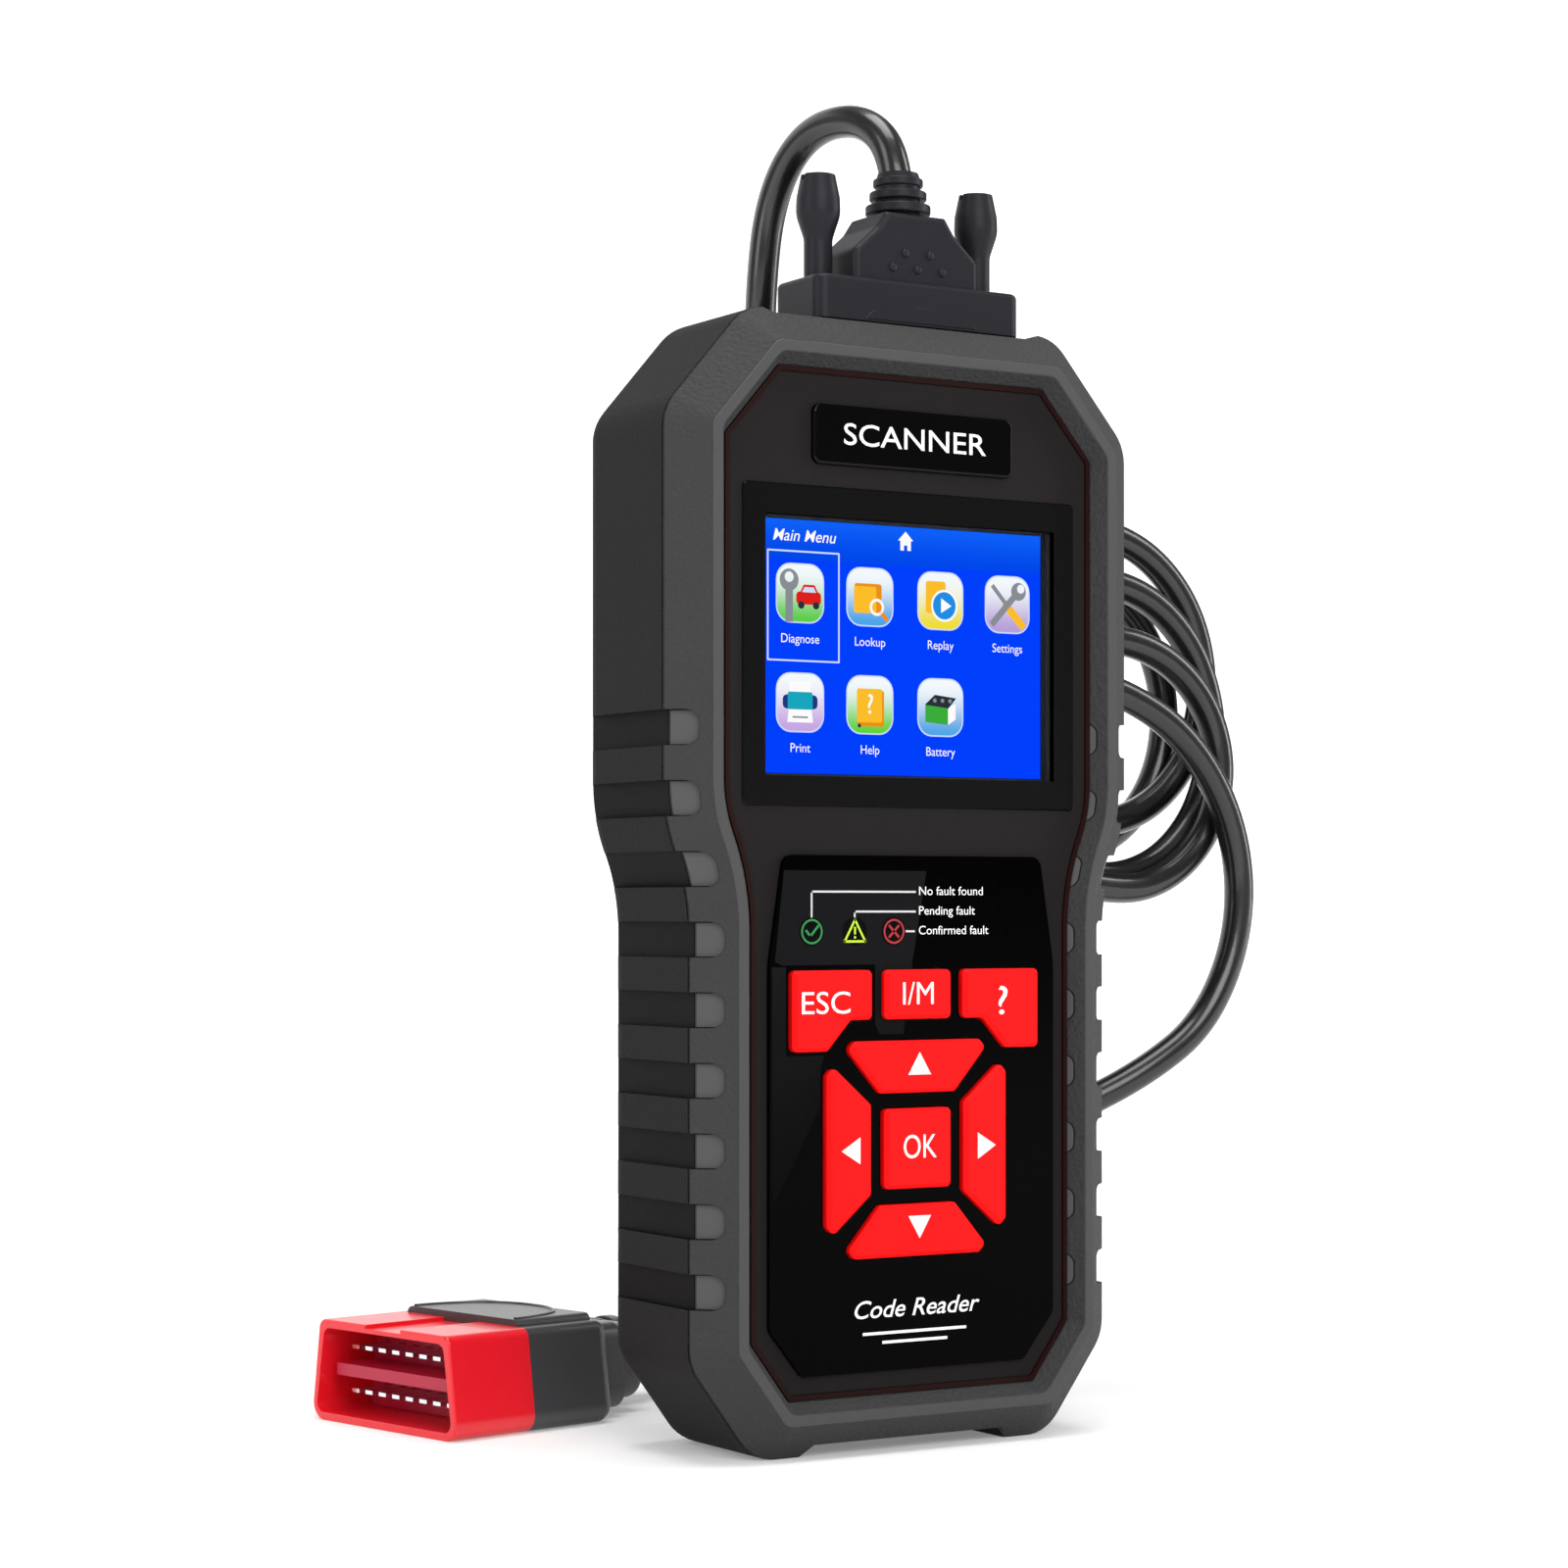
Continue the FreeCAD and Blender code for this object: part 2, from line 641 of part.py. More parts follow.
KEYS = {
    "key_esc": (side_key(-1), (-19.5, 77.5)),
    "key_im": (plain_key(S.ok_half, S.top_key_low, S.top_key_high), (0, 78.7)),
    "key_help": (side_key(1), (19.5, 77.5)),
    "key_up": (arm_key(1), (0, S.pad_z + 14.5)),
    "key_left": (arm_key(2), (-14.5, S.pad_z)),
    "key_ok": (plain_key(S.ok_half, S.pad_z - S.ok_half, S.pad_z + S.ok_half), (0, S.pad_z)),
    "key_right": (arm_key(0), (14.5, S.pad_z)),
    "key_down": (arm_key(3), (0, S.pad_z - 14.5)),
}


def counter_clockwise(corners):
    area = 0.0
    for i, corner in enumerate(corners):
        area += worth(corners[i - 1][0]) * worth(corner[1]) - worth(corner[0]) * worth(corners[i - 1][1])
    return corners if area > 0 else list(reversed(corners))


def grown(corners, gap):
    """The same closed outline moved outwards by an even gap; sizes stay tied to the sheet."""
    corners = counter_clockwise(corners)
    count = len(corners)
    result = []
    for i, corner in enumerate(corners):
        here = (worth(corner[0]), worth(corner[1]))
        before = (worth(corners[i - 1][0]), worth(corners[i - 1][1]))
        after = (worth(corners[(i + 1) % count][0]), worth(corners[(i + 1) % count][1]))
        u = unit(before, here)
        v = unit(here, after)
        bend = 1 + u[0] * v[0] + u[1] * v[1]
        shift = ((u[1] + v[1]) / bend, -(u[0] + v[0]) / bend)
        result.append((corner[0] + gap * shift[0], corner[1] + gap * shift[1]))
    return result


def key_outline(corners, gap):
    radius = S.key_round + gap if worth(gap) else S.key_round
    return [corner + (radius,) for corner in grown(corners, as_size(gap))]


def make_keys():
    for label, (corners, (x, z)) in KEYS.items():
        cap = plate(key_back_y, key_front_y, [key_outline(corners, 0)], label + "_cap")
        dress(cap, "Chamfer", at_y(key_front_y), S.key_bevel)
        stem_end = board_front_y - S.dome_tall - S.key_travel - 0.1
        stem = rod((x, stem_end, z), S.stem_radius, stem_end - key_back_y + 0.5, "y")
        keep(label, fuse(cap, stem))


def key_holes(back, front, outlines):
    """One cutter for each key, on sketches of their own, so that each stays quick to solve."""
    return group([plate(back, front, [outline], "key_hole") for outline in outlines])


def make_keypad():
    openings = [key_outline(corners, S.key_gap) for corners, spot in KEYS.values()]
    lenses = [(as_size(x), S.lens_z, S.lens_radius + S.fit_gap) for x in LENS_X.values()]
    overlay = plate(face_y, overlay_front_y, [keypad_outline(0)] + lenses, "overlay_body")
    keep("keypad_overlay", cut(overlay, key_holes(face_y + 1, overlay_front_y - 1, openings)))
    for label, x in LENS_X.items():
        lens = plate(face_y + 0.8, overlay_front_y - 0.1, [(as_size(x), S.lens_z, S.lens_radius)], label + "_body")
        keep(label, lens)
    stems = [rod((x, seam_y + S.mat_thick + 1, z), S.stem_radius + 0.4, S.mat_thick + 2, "y")
             for corners, (x, z) in KEYS.values()]
    pipes = [(as_size(x), S.lens_z, 1.6) for x in LENS_X.values()]
    mat = plate(seam_y + S.fit_gap + S.mat_thick, seam_y + S.fit_gap, [keypad_outline(-1.2)] + pipes,
                "mat_body")
    keep("keypad_mat", cut(mat, group(stems)))
    domes = [rod((x, board_front_y, z), S.dome_radius, S.dome_tall, "y") for corners, (x, z) in KEYS.values()]
    keep("dome_switches", group(domes))
    lights = [rod((x, board_front_y, S.lens_z), 1.2, board_front_y - face_y - 1.0, "y")
              for x in LENS_X.values()]
    keep("indicator_leds", group(lights))


# ---------------------------------------------------------------- electronics

def make_board():
    holes = [(x * side, z, as_size(1.4)) for x, z in ((26.0, 22.0), (31.0, 160.0)) for side in (-1, 1)]
    holes = [(as_size(x), as_size(z), r) for x, z, r in holes]
    board = plate(board_back_y, board_front_y, [case_outline(S.board_inset)] + holes, "board_body")
    keep("main_board", board)
    screws = []
    posts = []
    for x, z, radius in holes:
        shank = rod((x, board_back_y + 5, z), 1.2, S.board_thick + 6, "y")
        head = rod((x, board_front_y, z), 2.2, 1.2, "y")
        screws.append(fuse(shank, head))
        post = rod((x, back_y - S.wall, z), 3.0, back_y - S.wall - board_back_y, "y")
        posts.append(cut(post, rod((x, board_back_y + 6, z), 1.25, 8, "y")))
    keep("board_screws", group(screws))
    keep("board_posts", group(posts))
    chips = [(-12, 60, 12, 84, 1.6), (10, 30, 22, 38, 1.8), (-24, 120, -8, 136, 1.4), (6, 118, 24, 128, 1.6),
             (-20, 34, -12, 46, 2.2), (2, 150, 16, 162, 1.6)]
    keep("board_chips", group([block((a, board_back_y, b), (c, board_back_y + t, d))
                               for a, b, c, d, t in chips]))
    keep("buzzer", rod((20, board_back_y + 5.5, 98), 6.0, 5.5, "y"))
    usb_low = S.foot_gap_deep + 0.3
    outer = block((-USB_HALF, USB_Y - USB_TALL / 2, usb_low), (USB_HALF, USB_Y + USB_TALL / 2, usb_low + 9))
    inner = block((0.4 - USB_HALF, USB_Y - USB_TALL / 2 + 0.4, usb_low - 1),
                  (USB_HALF - 0.4, USB_Y + USB_TALL / 2 - 0.4, usb_low + 8))
    tongue = block((-2.4, USB_Y - 0.4, usb_low + 1.5), (2.4, USB_Y + 0.4, usb_low + 8.5))
    feet = block((1.0 - USB_HALF, board_back_y, usb_low + 8.5), (USB_HALF - 1.0, USB_Y, usb_low + 14))
    keep("usb_socket", fuse(cut(outer, inner), tongue, feet))


# ---------------------------------------------------------------- connector on top and its plug

top_floor_z = S.case_height - S.top_gap_deep
port_flange_z = top_floor_z - 6.7
plug_z = top_floor_z + S.plug_lift
FLANGE_HALF = as_size(19.5)
FLANGE_TALL = as_size(6.25)
FLANGE_THICK = as_size(0.8)


def port_block(half, tall, radius=1.0):
    return [(S.port_x - half, S.port_y - tall, radius), (S.port_x + half, S.port_y - tall, radius),
            (S.port_x + half, S.port_y + tall, radius), (S.port_x - half, S.port_y + tall, radius)]


def jack_spots():
    return [(S.port_x + side * S.jack_half, S.port_y) for side in (-1, 1)]


def pin_spots():
    """Fifteen contacts: eight in the row towards the viewer, seven behind."""
    spots = [(S.port_x + (i - 3.5) * 2.74, S.port_y - 1.42) for i in range(8)]
    return spots + [(S.port_x + (i - 3.0) * 2.74, S.port_y + 1.42) for i in range(7)]


def make_port():
    skin = S.shell_skin
    ring = column(port_flange_z, top_floor_z - 0.2, [d_outline(0, S.port_y), d_outline(-skin, S.port_y)],
                  "port_ring")
    holes = [(x, y, S.jack_radius - 0.6) for x, y in jack_spots()]
    flange = column(port_flange_z, port_flange_z + FLANGE_THICK,
                    [port_block(FLANGE_HALF, FLANGE_TALL), d_outline(-skin, S.port_y)] + holes, "port_flange")
    keep("device_port_shell", fuse(ring, flange))
    contacts = [(x, y, as_size(0.65)) for x, y in pin_spots()]
    core = column(port_flange_z - 4, top_floor_z - 0.4,
                  [d_outline(-skin - S.fit_gap, S.port_y)] + contacts, "port_core")
    keep("device_port_insulator", core)
    keep("device_port_pins", group([rod((x, y, port_flange_z - 6.5), 0.5, 6.0) for x, y in pin_spots()]))
    posts = [cut(rod((x, y, port_flange_z + FLANGE_THICK), S.jack_radius, top_floor_z - port_flange_z - 1.0),
                 rod((x, y, port_flange_z - 1), 1.4, 20)) for x, y in jack_spots()]
    keep("port_standoffs", group(posts))


def make_plug():
    skin = S.shell_skin
    gap = 0.15
    ring = column(port_flange_z + FLANGE_THICK + 0.4, plug_z + FLANGE_THICK,
                  [d_outline(skin + gap, S.port_y), d_outline(gap, S.port_y)], "plug_ring")
    holes = [(x, y, as_size(1.7)) for x, y in jack_spots()]
    flange = column(plug_z, plug_z + FLANGE_THICK,
                    [port_block(FLANGE_HALF, FLANGE_TALL - 0.4), d_outline(gap, S.port_y)] + holes, "plug_flange")
    keep("plug_shell", fuse(ring, flange))
    contacts = [(x, y, as_size(0.5)) for x, y in pin_spots()]
    core = column(plug_z, plug_z + 6, [d_outline(gap - S.fit_gap, S.port_y)] + contacts, "plug_core")
    keep("plug_insulator", core)
    pins = [rod((x, y, port_flange_z + 2), 0.5, plug_z - port_flange_z + 5) for x, y in pin_spots()]
    keep("plug_contacts", group(pins))


def hood_face():
    top = plug_z + S.hood_tall
    flange_top = plug_z + S.flange_tall
    half = [(S.hood_half, plug_z), (S.hood_half, flange_top + 5.0, 1.6), (S.hood_neck + 1.9, top - 2.8, 2.5),
            (S.hood_neck, top, 0.4)]
    return [(S.port_x + x, z) + tuple(rest) for x, z, *rest in mirrored(half)]


def make_plug_hood():
    body = plate(S.port_y + S.hood_deep / 2, S.port_y - S.hood_deep / 2, [hood_face()], "hood_body")
    dress(body, "Fillet", at_y(S.port_y - S.hood_deep / 2), 1.2)
    dress(body, "Fillet", at_y(S.port_y + S.hood_deep / 2), 1.2)
    flange = column(plug_z, plug_z + S.flange_tall, [port_block(S.flange_half, S.flange_deep / 2, 2.2)],
                    "hood_flange")
    dress(flange, "Fillet", at_z(plug_z + S.flange_tall), 1.0)
    bed = column(plug_z - 1, plug_z + FLANGE_THICK, [port_block(FLANGE_HALF, FLANGE_TALL - 0.4)], "hood_bed")
    core = column(plug_z - 1, plug_z + 6, [d_outline(0.15 + S.fit_gap, S.port_y)], "hood_core")
    contacts = column(plug_z + 5, plug_z + 8.0, [d_outline(-1.5, S.port_y)], "hood_wires")
    wire = rod((S.port_x, S.port_y, plug_z + 7), S.cord_radius + S.fit_gap, S.hood_tall)
    shafts = [rod((x, y, plug_z - 1), 1.75, S.flange_tall + 2) for x, y in jack_spots()]
    keep("plug_hood", cut(fuse(body, flange), bed, core, contacts, wire, *shafts))


def make_thumbscrews():
    """Long moulded heads on screws that turn freely in the hood and reach the standoffs."""
    seat = S.flange_tall + 0.3
    profile = [(0, 1.5 - S.plug_lift - 6.0), (1.3, 1.5 - S.plug_lift - 6.0), (1.3, seat), (2.5, seat),
               (2.5, seat + 6.8, 4.0), (S.knob_radius, seat + 11.0, 6.0), (S.knob_radius - 0.1, seat + 14.0, 6.0),
               (S.knob_radius - 0.9, S.knob_top), (0, S.knob_top)]
    for label, (x, y) in zip(("thumbscrew_left", "thumbscrew_right"), jack_spots()):
        head = turned(profile, label + "_turn")
        place(head, x, y, plug_z)
        slot = block((x - 4, y - 0.45, plug_z + S.knob_top - 1.0), (x + 4, y + 0.45, plug_z + S.knob_top + 1))
        keep(label, cut(head, slot))


def relief_profile(length, rings, bore, core):
    """A tapered strain relief with raised rings, as (radius, height) corners from the bottom."""
    corners = [(bore, 0), (core, 0)]
    for low, high, radius in rings:
        corners += [(core, low), (radius, low, 0.3), (radius, high, 0.3), (core, high)]
    return corners + [(core - 0.3, length), (bore, length)]


def make_plug_relief():
    """Three rings on a tapered core, with the cord running through it."""
    length = S.relief_top - S.hood_tall
    rings = [(0.7, 2.3, 5.75), (3.2, 4.7, 5.05), (5.6, 7.0, 4.4)]
    body = turned(relief_profile(length, rings, S.cord_radius + S.fit_gap, as_size(3.9)), "relief_body")
    place(body, S.port_x, S.port_y, plug_z + S.hood_tall)
    keep("plug_strain_relief", body)


# ---------------------------------------------------------------- cord

TOP_RUN = [
    (4.0, -3.8, 215.2), (4.0, -3.8, 226.0), (2.4, 5.1, 234.6), (-0.2, 19.9, 234.6), (-2.0, 29.5, 224.0),
    (-2.6, 32.2, 205.0), (0.5, 37.0, 186.0), (14.0, 43.0, 170.0), (34.0, 46.8, 163.0), (56.0, 48.0, 162.0),
    (74.0, 47.4, 160.5)]
LEAD = [
    (62.0, 26.2, 100.0), (47.0, 25.6, 102.5), (37.5, 25.0, 115.5), (39.5, 24.2, 131.5), (53.5, 23.4, 138.0),
    (71.0, 22.4, 136.5), (88.5, 21.4, 127.5), (100.2, 21.2, 110.2), (102.0, 21.2, 90.0), (93.5, 21.4, 71.5),
    (78.5, 22.4, 61.5), (61.5, 27.0, 53.5), (48.5, 40.0, 38.0), (38.0, 55.0, 15.0), (24.0, 67.0, 6.4),
    (8.0, 69.0, 9.4), (-7.0, 66.3, 9.4)]
# The wound turns, from the back of the coil to its front: centre X, centre Z, radius.
COIL_TURNS = [(75.0, 133.0, 27.5), (78.6, 139.5, 28.7), (77.0, 128.8, 28.3), (75.4, 121.6, 25.4)]
COIL_FACES_Y = [50.4, 43.6, 37.6, 31.6, 24.6]
TIE_LOW = 126.0
TIE_THICK = 1.2
TIE_SLACK = 5.2


def route_wire(points):
    """Straight runs joined by tangent arcs, each as large as its two runs allow."""
    points = [Vector(*p) for p in points]
    edges = []
    radii = []
    start = points[0]
    for i in range(1, len(points) - 1):
        back = points[i - 1] - points[i]
        ahead = points[i + 1] - points[i]
        turn = math.pi - back.getAngle(ahead)
        reach = 0.45 * min(back.Length, ahead.Length)
        radius = reach / math.tan(turn / 2)
        radii.append(round(radius, 1))
        back.normalize()
        ahead.normalize()
        enter = points[i] + back * reach
        leave = points[i] + ahead * reach
        middle = back + ahead
        middle.normalize()
        depth = radius / math.cos(turn / 2) - radius
        edges.append(Part.LineSegment(start, enter).toShape())
        edges.append(Part.Arc(enter, points[i] + middle * depth, leave).toShape())
        start = leave
    edges.append(Part.LineSegment(start, points[-1]).toShape())
    return Part.Wire(edges), radii


def make_tube(label, points):
    wire, radii = route_wire(points)
    first = Vector(*points[0])
    heading = Vector(*points[1]) - first
    ring = Part.Wire(Part.makeCircle(S.cord_radius.value, first, heading))
    solid = wire.makePipeShell([ring], True, False)
    expected = math.pi * S.cord_radius.value ** 2 * wire.Length
    print("%s: length %.1f mm, radii %s, volume ratio %.4f"
          % (label, wire.Length, radii, solid.Volume / expected))
    item = doc.addObject("Part::Feature", label + "_tube")
    item.Shape = solid
    item.Placement = Placement()
    keep(label, item)


def make_cord():
    make_tube("cord_top_run", TOP_RUN)
    make_tube("cord_lead", LEAD)
    turns = []
    for number, (x, z, radius) in enumerate(COIL_TURNS):
        outer = (as_size(x), as_size(z), radius + S.cord_radius)
        inner = (as_size(x), as_size(z), radius - S.cord_radius)
        turns.append(plate(COIL_FACES_Y[number], COIL_FACES_Y[number + 1], [outer, inner],
                           "coil_turn_%d" % number))
    keep("cord_coil", fuse(*turns))
    left = min(x - radius for x, z, radius in COIL_TURNS) - S.cord_radius
    right = max(x - radius for x, z, radius in COIL_TURNS) + S.cord_radius + TIE_SLACK
    back = COIL_FACES_Y[0]
    front = COIL_FACES_Y[-1]
    outer = block((left - TIE_THICK, front - TIE_THICK, TIE_LOW),
                  (right + TIE_THICK, back + TIE_THICK, TIE_LOW + 9))
    inner = block((left - 0.1, front - 0.1, TIE_LOW - 1), (right, back + 0.1, TIE_LOW + 10))
    keep("coil_tie", cut(outer, inner))


# ---------------------------------------------------------------- diagnostic plug, in its own frame

def obd_outline(inset, lift=0):
    """The plug's mating outline, seen from the front: wider at the bottom."""
    inset = as_size(inset)
    low = inset + lift
    high = S.obd_tall - inset
    return [(inset - S.obd_half_low, low, 3.2 - worth(inset)), (S.obd_half_low - inset, low, 3.2 - worth(inset)),
            (S.obd_half_top - inset, high, 1.8), (inset - S.obd_half_top, high, 1.8)]


def obd_prism(start, end, shapes, name):
    return pad("YZ_Plane", start, as_size(end) - start, shapes, name)


def set_down(label, item):
    """Put a piece that is made in the plug's own frame where the plug lies."""
    item.Placement = Placement(Vector(0, 0, 0), Rotation(Vector(0, 0, 1), 0))
    place(item, S.obd_x, S.obd_y, as_size(0))
    bind(item, "Placement.Rotation.Angle", S.obd_turn)
    return keep(label, item)


def obd_pin_spots():
    rows = (S.obd_axis_z - S.row_pitch / 2, S.obd_axis_z + S.row_pitch / 2)
    return [((i - 3.5) * S.pin_pitch, z) for z in rows for i in range(8)]


def make_obd_plug():
    shell = obd_prism(-S.obd_long, as_size(0), [obd_outline(0)], "obd_outer")
    dress(shell, "Fillet", lambda p: abs(p.x) < 1e-4, 0.4)
    hollow = obd_prism(3.0 - S.obd_long, as_size(1), [obd_outline(S.obd_wall)], "obd_hollow")
    key_way = block((-S.obd_long - 1, -5.2, S.obd_tall - 0.7), (1, 5.2, S.obd_tall + 1))
    slots = [block((-S.obd_long - 1, y - 1.15, z - 0.45), (4 - S.obd_long, y + 1.15, z + 0.45))
             for y, z in obd_pin_spots()]
    set_down("obd_shell", cut(shell, hollow, key_way, group(slots)))
    base = obd_prism(3.0 - S.obd_long + S.fit_gap, 6.0 - S.obd_long, [obd_outline(S.obd_wall + 0.1)], "obd_base")
    tongue = block((5.5 - S.obd_long, -16.6, S.obd_axis_z - 1.1), (-2.2, 16.6, S.obd_axis_z + 1.1))
    holes = [block((-S.obd_long, y - 1.1, z - 0.4), (7 - S.obd_long, y + 1.1, z + 0.4))
             for y, z in obd_pin_spots()]
    set_down("obd_pin_block", cut(fuse(base, tongue), group(holes)))
    pins = [block((-S.obd_long - 2, y - 1.05, z - 0.35), (-4.5, y + 1.05, z + 0.35)) for y, z in obd_pin_spots()]
    set_down("obd_pins", group(pins))
    make_obd_hood()


def make_obd_hood():
    start = -S.obd_long
    step = start - S.obd_hood_long
    neck = step - S.obd_neck_long
    body = obd_prism(step, start, [obd_outline(-0.0)], "obd_hood_block")
    dress(body, "Fillet", lambda p: abs(p.x - worth(step)) < 1e-4, 2.4)
    crown = obd_prism(step + 2, start, [[(-17.0, 12.0, 0), (17.0, 12.0, 0), (16.0, S.obd_tall + 1.2, 1.5),
                                         (-16.0, S.obd_tall + 1.2, 1.5)]], "obd_crown")
    back = obd_prism(step - 6, step + 4, [[(-17.5, 1.4, 4), (17.5, 1.4, 4), (15.0, 17.2, 3), (-15.0, 17.2, 3)]],
                     "obd_step")
    tail = obd_prism(neck, step - 5, [[(-14.0, 2.2, 4.5), (14.0, 2.2, 4.5), (12.5, 16.2, 4), (-12.5, 16.2, 4)]],
                     "obd_tail")
    dress(tail, "Fillet", lambda p: abs(p.x - worth(neck)) < 1e-4, 2.0)
    room = block((start - 2.2, -15.6, S.obd_axis_z - 5.6), (start + 1, 15.6, S.obd_axis_z + 5.6))
    bore = rod((neck - 2, 0, S.obd_axis_z), S.cord_radius + S.fit_gap, start - neck, "x")
    set_down("obd_hood", cut(fuse(body, crown, back, tail), room, bore))
    rings = [(1.0, 3.4, 7.0), (4.6, 6.8, 6.3), (8.0, 10.0, 5.6)]
    relief = turned(relief_profile(S.obd_relief_long, rings, S.cord_radius + S.fit_gap, as_size(4.4)),
                    "obd_relief_body")
    turn = math.radians(S.obd_turn.value)
    reach = neck.value
    relief.Placement = Placement(
        Vector(S.obd_x.value + reach * math.cos(turn), S.obd_y.value + reach * math.sin(turn), S.obd_axis_z.value),
        Rotation(Vector(0, 0, 1), S.obd_turn.value).multiply(Rotation(Vector(0, 1, 0), -90)))
    keep("obd_strain_relief", relief)


# ---------------------------------------------------------------- build

make_rear_shell()
make_front_frame()
make_case_screws()
make_front_trim()
make_rear_label()
make_display()
make_keys()
make_keypad()
make_board()
make_port()
make_plug()
make_plug_hood()
make_thumbscrews()
make_plug_relief()
make_cord()
make_obd_plug()
doc.recompute()

for item in doc.Objects:
    if "Invalid" in item.State or "Error" in item.State:
        raise RuntimeError("%s (%s) is %s" % (item.Name, item.Label, item.State))
for label, item in nodes.items():
    if item.Shape.isNull() or not item.Shape.isValid():
        raise RuntimeError("%s has no valid shape" % label)
os.makedirs("parts", exist_ok=True)
for label, item in nodes.items():
    item.Shape.exportStep("parts/%s.step" % label)
print("%d sub-parts written" % len(nodes))
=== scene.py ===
# %% [markdown]
# # An OBD code reader, from its CAD frame to its looks
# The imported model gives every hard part's shape and place, and the bodies that they move with. What
# it lacks is how things look: a view, light, finishes, a cord that bends smoothly, and the print and
# small moulded marks on the surfaces. Each cell adds one of these. Nothing from the CAD is moved, so
# keys and thumbscrews still travel as the model says.

# %% Load the frame
import math

import bmesh
import bpy
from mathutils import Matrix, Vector


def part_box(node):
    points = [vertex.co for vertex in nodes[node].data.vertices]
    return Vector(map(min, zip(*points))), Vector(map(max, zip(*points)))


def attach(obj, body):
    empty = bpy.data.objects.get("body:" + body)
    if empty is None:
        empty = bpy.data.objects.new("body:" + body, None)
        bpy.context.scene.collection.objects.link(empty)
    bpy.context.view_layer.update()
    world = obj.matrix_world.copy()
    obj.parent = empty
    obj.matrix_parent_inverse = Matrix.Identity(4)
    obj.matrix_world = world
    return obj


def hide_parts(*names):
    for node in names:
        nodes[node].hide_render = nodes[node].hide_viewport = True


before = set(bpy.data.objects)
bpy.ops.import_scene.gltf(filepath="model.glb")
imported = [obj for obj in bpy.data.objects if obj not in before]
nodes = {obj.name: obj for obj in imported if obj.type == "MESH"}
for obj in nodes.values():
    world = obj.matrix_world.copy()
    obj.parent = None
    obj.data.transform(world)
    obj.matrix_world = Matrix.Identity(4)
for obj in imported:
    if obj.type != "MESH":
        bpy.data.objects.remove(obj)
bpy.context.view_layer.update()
MM = 0.001

# %% [markdown]
# ## Camera and studio
# A product like this is shown standing, turned a little so that the screen and one side are both
# seen. A Track To constraint could aim the camera, but it tilts the view and makes upright edges
# lean. Here the camera stays level with the floor, and `shift_y` slides the view up instead, as a
# view camera's rising front does, so the edges of the case stay upright.

# %% Camera
camera = bpy.data.objects.new("camera", bpy.data.cameras.new("camera"))
bpy.context.scene.collection.objects.link(camera)
camera.location = (-0.3357, -0.5142, 0.0935)
camera.rotation_euler = (math.radians(90), 0, math.radians(-31.77))
camera.data.lens = 79.87
camera.data.sensor_width = 36
camera.data.shift_y = 0.0795
camera.data.clip_start = 0.01
bpy.context.scene.camera = camera
print("camera at", tuple(round(v, 3) for v in camera.location))

# %% [markdown]
# Black plastic is hard to light: it shows reflections rather than its own colour. Point lamps
# would leave small hot spots, and a bright world alone would leave everything flat. Four large area
# lights give wide, soft reflections: the key light in front, one at the left for the case's side,
# one at the right for the narrow rims, and one above. The world adds a little even light.

# %% Lights
def soft_light(name, place, size, watts, aim=(0, 0, 0.1)):
    light = bpy.data.lights.new(name, "AREA")
    light.shape = "RECTANGLE"
    light.size, light.size_y = size
    light.energy = watts
    lamp = bpy.data.objects.new(name, light)
    bpy.context.scene.collection.objects.link(lamp)
    lamp.location = place
    lamp.rotation_euler = (Vector(aim) - Vector(place)).to_track_quat("-Z", "Y").to_euler()
    return lamp


soft_light("key_light", (-0.25, -1.25, 0.75), (0.9, 0.7), 12)
soft_light("left_light", (-1.2, -0.1, 0.6), (0.5, 0.9), 5)
soft_light("right_light", (1.0, -0.3, 0.5), (0.25, 1.0), 5)
soft_light("top_light", (0.0, -0.1, 1.3), (0.8, 0.8), 12)
world = bpy.data.worlds.new("studio")
world.use_nodes = True
world.node_tree.nodes["Background"].inputs["Color"].default_value = (1, 1, 1, 1)
world.node_tree.nodes["Background"].inputs["Strength"].default_value = 0.22
bpy.context.scene.world = world
bpy.context.scene.view_settings.view_transform = "Standard"
print("4 lights")

# %% [markdown]
# ## A few words for shaders
# Node trees built by hand take a page for each finish, and their links are hard to follow. `Field`
# holds one output socket and overloads the operators, so adding two fields adds a Math node, and a
# finish reads as a formula. `band` and `step` turn a coordinate into a mask, and `mix` turns a mask
# into a colour.

